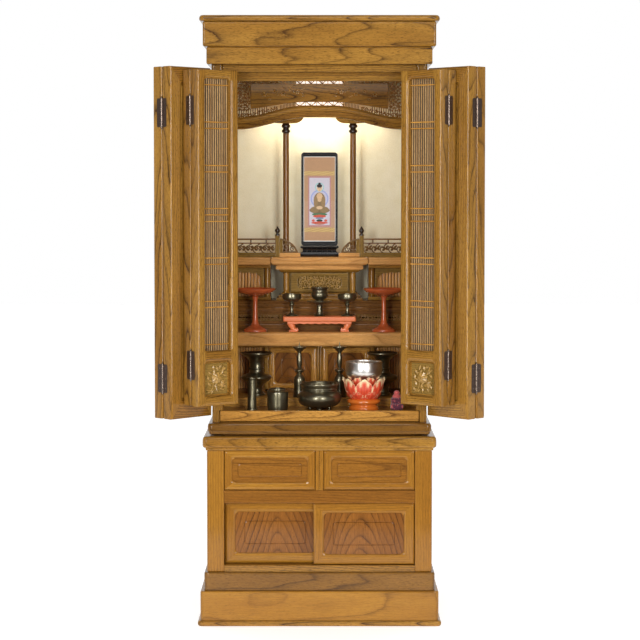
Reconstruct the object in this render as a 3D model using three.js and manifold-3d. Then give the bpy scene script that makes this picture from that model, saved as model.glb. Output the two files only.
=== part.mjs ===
// A household altar cabinet in golden-brown hardwood, with its doors folded open.
// Millimetres. +Z is up, +X is right and the front faces -Y. The origin is the centre of the underside.
import * as THREE from 'three';
import { mergeVertices } from 'three/addons/utils/BufferGeometryUtils.js';
import Module from 'manifold-3d';

const wasm = await Module();
wasm.setup();

// Clearances
const GAP = 0.4; // between pieces that only rest against each other
const RUN = 1; // around doors, drawers and boards that move

// Foot of the cabinet
const BASE_W = 655;
const BASE_D = 560;
const BASE_H = 15;
const PLINTH_H = 79;
const PLINTH_INSET = 7;
const RISER_H = 49;
const RISER_INSET = 17;
const FOOT_WALL = 22;
const BACK_INSET = 15; // from the back of the foot to the flat back of the cabinet

// Lower cabinet
const LOWER_W = 605;
const LOWER_INSET = 25; // from the front of the foot to the front of the lower cabinet
const LOWER_H = 329;
const LOWER_WALL = 18;
const LOWER_POST_W = 46;
const LOWER_POST_D = 60;
const BACK_WALL = 12;
const LOWER_SILL_H = 18; // front rail under the sliding doors
const SLIDE_H = 168; // height of the sliding-door opening
const MID_RAIL_H = 35; // front rail between the sliding doors and the drawers
const MID_BOARD_T = 12;
const STILE_W = 21.5; // upright between the drawers
const LOWER_TOP_H = 38.5;
const LOWER_TOP_SIDE = 11.5; // overhang of the lower cabinet's top
const LOWER_TOP_FRONT = 11;

// Drawers and sliding doors of the lower cabinet
const DRAWER_DEPTH = 430;
const DRAWER_FRONT_T = 20;
const DRAWER_WALL = 12;
const DRAWER_FLOOR = 8;
const SLIDER_T = 18;
const SLIDER_LAP = 16; // how far each sliding door passes the middle
const SLIDER_SETBACK = 8;

// Upper cabinet
const SHADOW_H = 4.5; // recessed base that lifts the upper cabinet off the lower one
const BASE_IN = 44.5; // from the sill's ends to the base
const BASE_BACK = 30; // from the sill's front to the base
const SILL_H = 30; // moulding under the upper cabinet
const CASE_W = 579;
const CASE_SETBACK = 58; // from the front of the foot to the front of the upper cabinet
const HEAD_RAIL_H = 18; // rail over the inner doors
const CASE_WALL = 18;
const CASE_TOP_T = 12;
const JAMB_W = 30.5;
const JAMB_D = 36;
const CORNER_R = 12; // rounded upright corners of the mouldings
const MOULD_SIDE = 11; // side overhang of the sill and the lower fascia
const FLOOR_Z = 23; // top of the lower chamber's floor, above the sill
const FLOOR_T = 9;

// Crown
const FRIEZE_H = 46;
const FASCIA_H = 67;
const CROWN_TOP_H = 16;
const CROWN_STEP = 9.5; // how far each course of the crown stands out from the one below
const CROWN_WALL = 20;

// Pull-out board
const TRAY_FRONT_H = 29;
const TRAY_FRONT_T = 18;
const TRAY_BOARD_T = 10;
const TRAY_DEPTH = 300;
const TRAY_LAP = 9; // how far its front laps the rebated jambs

// Doors
const OUTER_T = 35;
const OUTER_BOTTOM = 17.5; // above the sill
const OUTER_TOP = 8.5; // between the outer leaves and the crown
const OUTER_OPEN = 134.5; // degrees from closed
const INNER_T = 36;
const INNER_BOTTOM = 55;
const INNER_H = 887;
const INNER_OPEN = 143.5;
const LEAF_EDGE_R = 6;
const LEAF_FRAME = 34; // width of an outer leaf's frame
const LEAF_RECESS = 5;
const HINGE_PROUD = 1; // how far a pin stands out of the faces that fold together
const WINDOW_FRAME = 24; // frame beside an inner leaf's lattice
const WINDOW_TOP = 24;
const WINDOW_FOOT = 146; // bottom of the lattice window above the leaf's foot
const PLAQUE_FOOT = 26;
const PLAQUE_H = 90;
const WEB_T = 8; // backing of the lattice, in the middle of the leaf
const SLATS = 7;
const SLAT_W = 2;
const SLAT_T = 3;

// Leaf hinges
const HINGE_H = 76;
const HINGE_PLATE_W = 17.5;
const KNUCKLE_R = 3.1;
const HINGE_TIP = 5;
const HINGE_FOOT = 108; // middle of the lower hinge above its leaf's foot
const OUTER_HINGE_TOP = 122; // middle of the upper hinge below its leaf's top
const INNER_HINGE_TOP = 107;

// Inside of the upper cabinet
const DOOR_CLEAR = 4; // between the closed inner doors and what stands behind them
const LINTEL_H = 30;
const LINTEL_T = 12;
const STEP_H = 24.5;
const STEP_Y = -50; // front of the step in the lower chamber
const PANEL_Y = 78; // front of the lower chamber's panels
const PANEL_T = 12;
const SHELF_Z = 163; // underside of the front shelf above the lower chamber's floor
const SHELF_T = 40;
const SHELF_Y = 2;
const ALTAR_Y = 84;
const ALTAR_H = 85;
const DAIS_H = 124; // from the altar's base to the railings
const DAIS_TOP_H = 23.5;
const TABLE_W = 278;
const TABLE_FRONT = 12; // how far the middle of the dais stands in front of its wings
const WINDOW_SETBACK = 28; // of the wings' arched windows behind the dais
const CLOTH_Y = 200;
const CLOTH_T = 6;

// Railings, pillars, transom
const RAIL_Y = 94;
const RAIL_T = 7;
const RAIL_H = 53;
const RAIL_POST_X = 120;
const RAIL_POST_W = 14;
const WING_L = 58;
const FINIAL_H = 22;
const PILLAR_X = 96;
const PILLAR_Y = 122;
const PILLAR_R = 8.6;
const CAPITAL_H = 29;
const BRACKET_IN = 50; // reach from the pillar's axis to the middle
const BRACKET_OUT = 31;
const BRACKET_H = 9.5; // under the beam over the pillar's axis
const BEAM_T = 18;
const BEAM_H = 31;
const BEAM_RISE = 34; // from the beam's ends to the middle of its arch
const TRANSOM_H = 84; // from the ceiling down to the beam's upper edge in the middle
const ARCH_FLAT = 40; // half length of the beam's level middle
const ARCH_REACH = 232; // where the beam is level again
const TRANSOM_T = 8;
const TRANSOM_BAND = 13;
const TRANSOM_BOARD_W = 400;
const TRANSOM_BOARD_H = 52; // at the middle

// Hanging scroll and its stand
const SCROLL_Y = 150;
const STAND_W = 112;
const STAND_D = 52;
const STAND_FOOT_H = 31;
const STAND_FRAME_W = 105;
const STAND_FRAME_T = 16;
const STAND_H = 299;
const STAND_RIM = 6;
const SCROLL_T = 1.5;

// Altar furnishings: heights and greatest radii
const TAZZA = { x: 182, y: 36, h: 122, r: 59.5 };
const OFFER = { w: 206, d: 66, h: 44, top: 15 };
const CUP = { x: 78.5, h: 63, r: 27 };
const RICE = { h: 81, r: 24.5, saucer: 35.5 };
const VASE = { x: 178, y: 20, h: 121, r: 43 };
const CANDLE = { x: 56, y: -30, h: 156, r: 19.5 };
const CENSER = { x: 0, y: -118, h: 73, r: 61 };
const BELL = { x: 122, y: -118, h: 50, r: 51 };
const LOTUS = { h: 97, r: 63 };
const INCENSE = { x: -185, y: -140, h: 90, r: 15 };
const POT = { x: -115, y: -140, h: 60, r: 29.5 };
const REST = { x: 212, y: -140, w: 40, h: 54 };

// Fineness of round work
const LATHE_SEG = 8;
const ARC_SEG = 1;

// Levels and faces worked out from the sizes above
const plinthTop = BASE_H + PLINTH_H;
const riserTop = plinthTop + RISER_H;
const lowerTop = riserTop + LOWER_H;
const sillBottom = lowerTop + LOWER_TOP_H;
const sillTop = sillBottom + SHADOW_H + SILL_H;
const caseTop = sillTop + INNER_BOTTOM + INNER_H + HEAD_RAIL_H;
const outerH = caseTop - sillTop - OUTER_BOTTOM - OUTER_TOP;
const backY = BASE_D / 2 - BACK_INSET;
const lowerFront = -BASE_D / 2 + LOWER_INSET;
const caseFront = -BASE_D / 2 + CASE_SETBACK;
const caseInner = CASE_W / 2 - CASE_WALL;
const openHalf = CASE_W / 2 - JAMB_W;
const floorTop = sillTop + FLOOR_Z;
const stepTop = floorTop + STEP_H;
const shelfBottom = floorTop + SHELF_Z;
const shelfTop = shelfBottom + SHELF_T;
const altarTop = shelfTop + ALTAR_H;
const daisTop = altarTop + DAIS_H;
const ceiling = caseTop - CASE_TOP_T;
const fitHalf = caseInner - GAP; // half width of what fits between the case's walls

// Materials
const finish = (color, roughness, metalness = 0) =>
  new THREE.MeshStandardMaterial({ color, roughness, metalness });
const wood = finish(0xa8742f, 0.45);
const woodDark = finish(0x7c4d1f, 0.5);
const woodRed = finish(0x96571f, 0.45);
const carved = finish(0x6d4a1e, 0.55);
const hingeBronze = finish(0x3b2b22, 0.4, 0.7);
const bronze = finish(0x2f3128, 0.3, 0.8);
const silver = finish(0xd8d8d4, 0.2, 0.9);
const lacquerBlack = finish(0x0c0c0e, 0.15);
const lacquerRed = finish(0x9c3a20, 0.3);
const vermilion = finish(0xc8603e, 0.4);
const lotusRed = finish(0xd0482e, 0.5);
const brocade = finish(0x6b2233, 0.8);
const cloth = finish(0xe2d6a4, 0.85);
const scrollCloth = finish(0xb08a72, 0.85);

const root = new THREE.Group();

// Solids
function solidOf(geometry) {
  geometry.deleteAttribute('normal');
  geometry.deleteAttribute('uv');
  const merged = mergeVertices(geometry, 1e-4);
  return new wasm.Manifold(new wasm.Mesh({
    numProp: 3,
    vertProperties: new Float32Array(merged.attributes.position.array),
    triVerts: new Uint32Array(merged.index.array),
  }));
}

function add(name, solid, material, parent = root) {
  const mesh = solid.getMesh();
  const geometry = new THREE.BufferGeometry();
  geometry.setAttribute('position', new THREE.BufferAttribute(new Float32Array(mesh.vertProperties), 3));
  geometry.setIndex(new THREE.BufferAttribute(new Uint32Array(mesh.triVerts), 1));
  geometry.computeVertexNormals();
  const node = new THREE.Mesh(geometry, material);
  node.name = name;
  parent.add(node);
  return node;
}

// A block between two corners
function block(x0, x1, y0, y1, z0, z1) {
  const geometry = new THREE.BoxGeometry(x1 - x0, y1 - y0, z1 - z0);
  geometry.translate((x0 + x1) / 2, (y0 + y1) / 2, (z0 + z1) / 2);
  return solidOf(geometry);
}

function roundRect(x0, x1, y0, y1, r, front = r, back = r) {
  const shape = new THREE.Shape();
  shape.moveTo(x0 + front, y0);
  shape.lineTo(x1 - front, y0);
  if (front) shape.absarc(x1 - front, y0 + front, front, -Math.PI / 2, 0);
  shape.lineTo(x1, y1 - back);
  if (back) shape.absarc(x1 - back, y1 - back, back, 0, Math.PI / 2);
  shape.lineTo(x0 + back, y1);
  if (back) shape.absarc(x0 + back, y1 - back, back, Math.PI / 2, Math.PI);
  shape.lineTo(x0, y0 + front);
  if (front) shape.absarc(x0 + front, y0 + front, front, Math.PI, 1.5 * Math.PI);
  return shape;
}

// A block whose upright edges are rounded
function column(x0, x1, y0, y1, z0, z1, front, back = 0) {
  const geometry = new THREE.ExtrudeGeometry(roundRect(x0, x1, y0, y1, front, front, back), {
    depth: z1 - z0, bevelEnabled: false, curveSegments: ARC_SEG,
  });
  geometry.translate(0, 0, z0);
  return solidOf(geometry);
}

// The same, with its horizontal edges rounded too
function nosed(x0, x1, y0, y1, z0, z1, corner, nose) {
  const shape = roundRect(x0 + nose, x1 - nose, y0 + nose, y1 - nose, corner);
  const geometry = new THREE.ExtrudeGeometry(shape, {
    depth: z1 - z0 - 2 * nose, curveSegments: ARC_SEG,
    bevelThickness: nose, bevelSize: nose, bevelSegments: nose > 4.5 ? 2 : 1,
  });
  geometry.translate(0, 0, z0 + nose);
  return solidOf(geometry);
}

// An outline in X and Z, given its thickness along Y
function upright(shape, y0, y1, curveSegments = ARC_SEG) {
  const geometry = new THREE.ExtrudeGeometry(shape, { depth: y1 - y0, bevelEnabled: false, curveSegments });
  geometry.rotateX(Math.PI / 2);
  geometry.translate(0, y1, 0);
  return solidOf(geometry);
}

// A turned piece: [radius, height] points from the axis round to the axis again
function turned(points, x, y, z, segments = LATHE_SEG) {
  const profile = points.map(([r, h]) => new THREE.Vector2(Math.max(r, 0), h));
  const geometry = new THREE.LatheGeometry(profile, segments);
  geometry.rotateX(Math.PI / 2);
  geometry.translate(x, y, z);
  return solidOf(geometry);
}

function union(solids) {
  return solids.reduce((all, next) => all.add(next));
}

// A recess in the face at y, with a raised field left inside it
function sunkPanel(x0, x1, z0, z1, y, depth, inward, field) {
  const near = Math.min(y - inward, y + inward * depth);
  const far = Math.max(y - inward, y + inward * depth);
  const r = Math.min(14, (x1 - x0) / 4, (z1 - z0) / 4);
  const hole = upright(roundRect(x0, x1, z0, z1, r), near, far);
  if (!field) return hole;
  const low = Math.min(y + inward * depth * 0.45, y + inward * (depth + 1));
  const high = Math.max(y + inward * depth * 0.45, y + inward * (depth + 1));
  return hole.subtract(upright(roundRect(x0 + field, x1 - field, z0 + field, z1 - field, r / 2), low, high));
}

// Foot: a moulded base board with a plinth on it, and a narrower riser
function foot() {
  const half = BASE_W / 2;
  const deep = BASE_D / 2;
  const base = nosed(-half, half, -deep, deep, 0, BASE_H, CORNER_R, BASE_H / 3);
  const side = half - PLINTH_INSET;
  const plinth = column(-side, side, -deep + PLINTH_INSET, deep - PLINTH_INSET, BASE_H - 1, plinthTop, CORNER_R)
    .subtract(block(-side + FOOT_WALL, side - FOOT_WALL, -deep + PLINTH_INSET + FOOT_WALL,
      deep - PLINTH_INSET - FOOT_WALL, BASE_H, plinthTop + 1));
  add('plinth', base.add(plinth), wood);
  const in2 = half - RISER_INSET;
  add('plinth_riser', column(-in2, in2, -deep + RISER_INSET, backY, plinthTop, riserTop, CORNER_R)
    .subtract(block(-in2 + FOOT_WALL, in2 - FOOT_WALL, -deep + RISER_INSET + FOOT_WALL, backY - FOOT_WALL,
      plinthTop - 1, riserTop + 1)), wood);
}

// Lower cabinet: a carcass with two drawer bays over one cupboard with sliding doors
const lowerHalf = LOWER_W / 2;
const bayHalf = lowerHalf - LOWER_POST_W;
const slideBottom = riserTop + LOWER_SILL_H;
const slideTop = slideBottom + SLIDE_H;
const bayBottom = slideTop + MID_RAIL_H;

function lowerCase() {
  const cupboardBack = backY - BACK_WALL;
  const carcass = column(-lowerHalf, lowerHalf, lowerFront, backY, riserTop, lowerTop, 5)
    .subtract(block(-bayHalf, bayHalf, lowerFront - 1, lowerFront + LOWER_POST_D + 1, slideBottom, slideTop))
    .subtract(block(-lowerHalf + LOWER_WALL, lowerHalf - LOWER_WALL, lowerFront + LOWER_POST_D,
      cupboardBack, riserTop + LOWER_WALL, bayBottom - MID_BOARD_T))
    .subtract(block(-bayHalf, -STILE_W / 2, lowerFront - 1, cupboardBack, bayBottom, lowerTop + 1))
    .subtract(block(STILE_W / 2, bayHalf, lowerFront - 1, cupboardBack, bayBottom, lowerTop + 1));
  const bead = block(-2, 2, lowerFront - 2, lowerFront + 2, bayBottom, lowerTop);
  add('lower_cabinet', carcass.subtract(bead), wood);
  add('lower_cabinet_top', nosed(-lowerHalf - LOWER_TOP_SIDE, lowerHalf + LOWER_TOP_SIDE,
    lowerFront - LOWER_TOP_FRONT, backY + LOWER_TOP_SIDE / 2, lowerTop, sillBottom, CORNER_R, 4), wood);
}

// A drawer: an open box behind a bevelled front with a sunk panel
function drawer(side) {
  const near = STILE_W / 2 + RUN;
  const far = bayHalf - RUN;
  const x0 = side < 0 ? -far : near;
  const x1 = side < 0 ? -near : far;
  const z0 = bayBottom + RUN;
  const z1 = lowerTop - RUN;
  const front = lowerFront + 2;
  const face = nosed(x0, x1, front, front + DRAWER_FRONT_T, z0, z1, 0, 1)
    .subtract(sunkPanel(x0 + 21, x1 - 21, z0 + 21, z1 - 21, front, LEAF_RECESS, 1, 17));
  const box = block(x0 + 3, x1 - 3, front + DRAWER_FRONT_T - 1, front + DRAWER_DEPTH, z0 + 1, z1 - 8)
    .subtract(block(x0 + 3 + DRAWER_WALL, x1 - 3 - DRAWER_WALL, front + DRAWER_FRONT_T,
      front + DRAWER_DEPTH - DRAWER_WALL, z0 + 1 + DRAWER_FLOOR, z1));
  add(side < 0 ? 'drawer_left' : 'drawer_right', face.add(box), wood);
}

// A sliding door with a sunk panel; the left one runs behind the right one
function slidingDoor(side) {
  const x0 = side < 0 ? -bayHalf + RUN : -SLIDER_LAP;
  const x1 = side < 0 ? SLIDER_LAP : bayHalf - RUN;
  const front = lowerFront + SLIDER_SETBACK + (side < 0 ? SLIDER_T + 2 * RUN : 0);
  const z0 = slideBottom + RUN;
  const z1 = slideTop - RUN;
  const leaf = nosed(x0, x1, front, front + SLIDER_T, z0, z1, 0, 1)
    .subtract(sunkPanel(x0 + 26, x1 - 26, z0 + 25, z1 - 25, front, LEAF_RECESS, 1, 22));
  add(side < 0 ? 'sliding_door_left' : 'sliding_door_right', leaf, woodRed);
}

// Upper cabinet: sill moulding, case and crown
function sill() {
  const half = CASE_W / 2 + MOULD_SIDE;
  const front = caseFront - OUTER_T - RUN;
  const z0 = sillBottom + SHADOW_H;
  const board = nosed(-half, half, front, backY, z0, sillTop, CORNER_R, 4);
  const base = block(-half + BASE_IN, half - BASE_IN, front + BASE_BACK, backY - BASE_BACK, sillBottom, z0 + 5);
  add('upper_sill', union([board, base]), wood);
}

function upperCase() {
  const half = CASE_W / 2;
  const rebate = openHalf + TRAY_LAP + RUN;
  const shell = column(-half, half, caseFront, backY, sillTop, caseTop, 8)
    .subtract(block(-openHalf, openHalf, caseFront - 1, caseFront + JAMB_D + 1, sillTop - 1,
      caseTop - HEAD_RAIL_H))
    .subtract(block(-rebate, rebate, caseFront - 1, caseFront + TRAY_FRONT_T + RUN, sillTop - 1,
      sillTop + TRAY_FRONT_H + 2 * RUN))
    .subtract(block(-caseInner, caseInner, caseFront + JAMB_D, backY - BACK_WALL, sillTop - 1, ceiling));
  const floor = block(-caseInner - 1, caseInner + 1, caseFront + TRAY_FRONT_T + RUN, backY - BACK_WALL + 1,
    floorTop - FLOOR_T, floorTop).intersect(
    block(-openHalf, openHalf, caseFront, caseFront + JAMB_D + 1, 0, caseTop)
      .add(block(-caseInner - 1, caseInner + 1, caseFront + JAMB_D, backY, 0, caseTop)));
  const lintelY = caseFront + JAMB_D + DOOR_CLEAR;
  const lintel = [0, 1, 2].map((n) => block(-caseInner - 1, caseInner + 1, lintelY + n * 5,
    lintelY + LINTEL_T + n * 5, ceiling - LINTEL_H + 12 + (2 - n) * 2 - n * 5, ceiling + 1));
  add('upper_cabinet', union([shell, floor, ...lintel]), wood);
}

function crown() {
  const half = CASE_W / 2 + MOULD_SIDE;
  const front = caseFront - OUTER_T - RUN;
  const zFascia = caseTop + FRIEZE_H;
  const zTop = zFascia + FASCIA_H;
  const frieze = nosed(-half, half, front, backY, caseTop, zFascia + 3, CORNER_R, 3);
  const s1 = CROWN_STEP;
  const fascia = nosed(-half - s1, half + s1, front - s1, backY, zFascia, zTop + 3, CORNER_R, 3);
  const s2 = 2 * CROWN_STEP;
  const top = nosed(-half - s2, half + s2, front - s2, backY, zTop, zTop + CROWN_TOP_H, CORNER_R, CROWN_TOP_H / 3);
  const hollow = block(-half + CROWN_WALL, half - CROWN_WALL, front + CROWN_WALL, backY - CROWN_WALL,
    caseTop - 1, zTop - 4);
  add('crown', union([frieze, fascia, top]).subtract(hollow), wood);
}

// Board that pulls out under the floor of the lower chamber
function tray() {
  const half = openHalf - RUN;
  const lap = openHalf + TRAY_LAP;
  const z0 = sillTop + RUN;
  const front = nosed(-lap, lap, caseFront + RUN / 2, caseFront + TRAY_FRONT_T, z0, z0 + TRAY_FRONT_H, 0, 2);
  const board = block(-half + 4, half - 4, caseFront + TRAY_FRONT_T - 1, caseFront + TRAY_DEPTH,
    z0 + 1, z0 + 1 + TRAY_BOARD_T);
  add('pull_out_board', front.add(board), wood);
}

// Doors. Each leaf is drawn closed, at x from 0 to side * width from its pin, and turned about that pin.
function leafBlank(side, x0, x1, y0, y1, h) {
  const lo = Math.min(side * x0, side * x1);
  const hi = Math.max(side * x0, side * x1);
  return column(lo, hi, y0, y1, 0, h, LEAF_EDGE_R, LEAF_EDGE_R);
}

function outerLeaf(side, x0, x1, y0, y1) {
  const lo = Math.min(side * x0, side * x1) + LEAF_FRAME;
  const hi = Math.max(side * x0, side * x1) - LEAF_FRAME;
  return leafBlank(side, x0, x1, y0, y1, outerH)
    .subtract(sunkPanel(lo, hi, LEAF_FRAME + 14, outerH - LEAF_FRAME - 10, y0, LEAF_RECESS, 1, 0))
    .subtract(sunkPanel(lo, hi, LEAF_FRAME + 14, outerH - LEAF_FRAME - 10, y1, LEAF_RECESS, -1, 0));
}

function innerLeaf(side, x0, x1, y0, y1) {
  const lo = Math.min(side * x0, side * x1) + WINDOW_FRAME;
  const hi = Math.max(side * x0, side * x1) - WINDOW_FRAME;
  const mid = (y0 + y1) / 2;
  const deep = (INNER_T - WEB_T) / 2;
  const top = INNER_H - WINDOW_TOP;
  const slats = [];
  for (let n = 0; n < SLATS; n += 1) {
    const x = lo + ((n + 1) * (hi - lo)) / (SLATS + 1);
    const y = mid - WEB_T / 2 - SLAT_T + 1;
    slats.push(block(x - SLAT_W / 2, x + SLAT_W / 2, y, y + SLAT_T, WINDOW_FOOT + 0.1, top - 0.1));
  }
  const plaqueTop = PLAQUE_FOOT + PLAQUE_H;
  const panels = [
    sunkPanel(lo, hi, WINDOW_FOOT, top, y0, deep, 1, 0),
    sunkPanel(lo, hi, PLAQUE_FOOT, plaqueTop, y0, deep - 4, 1, 8),
    sunkPanel(lo, hi, WINDOW_FOOT, top, y1, LEAF_RECESS, -1, 0),
  ];
  return union([panels.reduce((body, cut) => body.subtract(cut), leafBlank(side, x0, x1, y0, y1, INNER_H)),
    ...slats]);
}

// Plate and knuckle of a hinge on the end edge of a leaf, as a person sees them on the folded doors
function leafHinge(side, xEnd, pinX, pinY, inward, z) {
  const knuckle = new THREE.CylinderGeometry(KNUCKLE_R, KNUCKLE_R, HINGE_H + 2 * HINGE_TIP, 8);
  knuckle.rotateX(Math.PI / 2);
  knuckle.translate(side * pinX, pinY, z);
  const x0 = Math.min(side * (xEnd + 0.05), side * (pinX + 0.4));
  const x1 = Math.max(side * (xEnd + 0.05), side * (pinX + 0.4));
  const y0 = Math.min(pinY, pinY + inward * (HINGE_PLATE_W + 2));
  const y1 = Math.max(pinY, pinY + inward * (HINGE_PLATE_W + 2));
  const plate = block(x0, x1, y0, y1, z - HINGE_H / 2, z + HINGE_H / 2);
  return solidOf(knuckle).add(plate);
}

function doorPair(side) {
  const tag = side < 0 ? 'left' : 'right';
  const away = -side; // closed leaves run from the hinge towards the middle
  const turn = (degrees) => side * THREE.MathUtils.degToRad(degrees);
  const outerW = (CASE_W / 2 - 3 * RUN / 2) / 2;
  const innerW = (openHalf - 2 * RUN) / 2;

  const outer = new THREE.Group();
  outer.position.set(side * CASE_W / 2, caseFront, sillTop + OUTER_BOTTOM);
  outer.rotation.z = turn(OUTER_OPEN);
  root.add(outer);
  const back = -RUN / 2;
  const front = back - OUTER_T;
  add(`outer_door_${tag}_hung`, outerLeaf(away, 0, outerW, front, back), wood, outer);
  const outerPin = [outerW + RUN / 2, front - HINGE_PROUD];
  const outerFold = new THREE.Group();
  outerFold.position.set(away * outerPin[0], outerPin[1], 0);
  outerFold.rotation.z = turn(180);
  outer.add(outerFold);
  add(`outer_door_${tag}_folding`,
    outerLeaf(away, RUN / 2, RUN / 2 + outerW, HINGE_PROUD, HINGE_PROUD + OUTER_T), wood, outerFold);
  [HINGE_FOOT, outerH - OUTER_HINGE_TOP].forEach((z, n) => add(`outer_hinge_${tag}_${n ? 'upper' : 'lower'}`,
    leafHinge(away, outerW, outerPin[0], outerPin[1], 1, z), hingeBronze, outer));

  const inner = new THREE.Group();
  inner.position.set(side * (openHalf - RUN / 2), caseFront + RUN / 2, sillTop + INNER_BOTTOM);
  inner.rotation.z = turn(INNER_OPEN);
  root.add(inner);
  add(`inner_door_${tag}_hung`, innerLeaf(away, 0, innerW, 0, INNER_T), wood, inner);
  const innerPin = [innerW + RUN / 2, INNER_T + HINGE_PROUD];
  const innerFold = new THREE.Group();
  innerFold.position.set(away * innerPin[0], innerPin[1], 0);
  innerFold.rotation.z = turn(-180);
  inner.add(innerFold);
  add(`inner_door_${tag}_folding`,
    innerLeaf(away, RUN / 2, RUN / 2 + innerW, -HINGE_PROUD - INNER_T, -HINGE_PROUD), wood, innerFold);
  [HINGE_FOOT, INNER_H - INNER_HINGE_TOP].forEach((z, n) => add(`inner_hinge_${tag}_${n ? 'upper' : 'lower'}`,
    leafHinge(away, innerW, innerPin[0], innerPin[1], -1, z), hingeBronze, inner));
}

// Lower chamber: a step at the back, and panels behind it
function lowerChamber() {
  const stepBack = backY - BACK_WALL - GAP;
  add('chamber_step', nosed(-fitHalf, fitHalf, STEP_Y, stepBack, floorTop, stepTop, 0, 2), wood);
  let wall = block(-fitHalf, fitHalf, PANEL_Y, PANEL_Y + PANEL_T, stepTop, shelfBottom);
  const low = stepTop + 19;
  const high = shelfBottom - 11;
  for (const side of [-1, 1]) {
    const spans = [[10, 141], [158, fitHalf - 10]];
    for (const [near, far] of spans) {
      const x0 = side < 0 ? -far : near;
      const x1 = side < 0 ? -near : far;
      wall = wall.subtract(sunkPanel(x0, x1, low, high, PANEL_Y, LEAF_RECESS, 1, near < 100 ? 20 : 0));
    }
  }
  add('chamber_panels', wall, wood);
}

// Front shelf and the altar's stepped base on it
function altarBase() {
  const back = backY - BACK_WALL - GAP;
  add('front_shelf', nosed(-fitHalf, fitHalf, SHELF_Y, back, shelfBottom, shelfTop, 0, 7), wood);
  const behind = CLOTH_Y - GAP;
  const course = (y, z0, z1) => block(-fitHalf, fitHalf, y, behind, z0, z1);
  let base = union([
    course(ALTAR_Y, shelfTop, shelfTop + 18),
    course(ALTAR_Y + 8, shelfTop + 17, shelfTop + 54),
    course(ALTAR_Y + 2, shelfTop + 53, shelfTop + 66),
    course(ALTAR_Y + 8, shelfTop + 65, shelfTop + 78),
    course(ALTAR_Y + 4, shelfTop + 77, altarTop),
  ]);
  const panelHalf = (fitHalf - 40) / 3;
  for (const n of [-1, 0, 1]) {
    const x = n * (panelHalf * 2 + 10);
    base = base.subtract(sunkPanel(x - panelHalf + 5, x + panelHalf - 5, shelfTop + 21, shelfTop + 50,
      ALTAR_Y + 8, 4, 1, 0));
  }
  add('altar_base', base, woodDark);
}

// Dais: the altar table in the middle, and a wing with an arched window at each side
const tableHalf = TABLE_W / 2;

function altarTable() {
  const front = ALTAR_Y - TABLE_FRONT;
  const behind = CLOTH_Y - GAP;
  const slabBottom = daisTop - DAIS_TOP_H;
  const slab = nosed(-tableHalf, tableHalf, front, behind, slabBottom, daisTop, 0, 6);
  const tier = (inset, z0, z1) => column(-tableHalf + inset, tableHalf - inset, front + inset * 0.8, behind,
    z0, z1, 0);
  const pedestal = union([
    slab,
    tier(15, slabBottom - 10, slabBottom + 1),
    tier(23, slabBottom - 15, slabBottom - 9),
    tier(30, slabBottom - 21, slabBottom - 14),
    tier(40, altarTop + 20, slabBottom - 20),
    tier(30, altarTop + 14, altarTop + 22),
    tier(22, altarTop + 7, altarTop + 15),
    tier(16, altarTop, altarTop + 8),
  ]);
  const y = front + 40 * 0.8;
  const cartouche = sunkPanel(-62, 62, altarTop + 30, slabBottom - 28, y, 4, 1, 0);
  const posts = [-1, 1].map((s) => turned([[0, 0], [9, 0], [9, slabBottom - altarTop - 36], [0, slabBottom - altarTop - 36]],
    s * (tableHalf - 50), y, altarTop + 18, 10));
  add('altar_table', union([pedestal.subtract(cartouche), ...posts]), wood);
}

function daisWing(side) {
  const near = tableHalf + GAP;
  const x0 = side < 0 ? -fitHalf : near;
  const x1 = side < 0 ? -near : fitHalf;
  const behind = CLOTH_Y - GAP;
  const slabBottom = daisTop - DAIS_TOP_H;
  const slab = nosed(x0, x1, ALTAR_Y, behind, slabBottom, daisTop, 0, 5);
  const face = ALTAR_Y + WINDOW_SETBACK;
  const body = block(x0, x1, face, behind, altarTop, slabBottom + 1);
  const arch = new THREE.Shape();
  const a0 = side < 0 ? x0 + 20 : x0 + 26;
  const a1 = side < 0 ? x1 - 26 : x1 - 20;
  const low = altarTop + 10;
  const spring = slabBottom - 34;
  arch.moveTo(a0, low);
  arch.lineTo(a1, low);
  arch.lineTo(a1, spring);
  arch.quadraticCurveTo(a1, slabBottom - 12, (a0 + a1) / 2, slabBottom - 8);
  arch.quadraticCurveTo(a0, slabBottom - 12, a0, spring);
  let wing = slab.add(body.subtract(upright(arch, face - 1, face + 8, 5)));
  const ribs = 7;
  for (let n = 0; n < ribs; n += 1) {
    const x = a0 + ((n + 0.5) * (a1 - a0)) / ribs;
    wing = wing.add(block(x - 3, x + 3, face + 5, face + 9, low - 1, slabBottom - 11));
  }
  add(`dais_wing_${side < 0 ? 'left' : 'right'}`, wing, wood);
}

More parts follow.
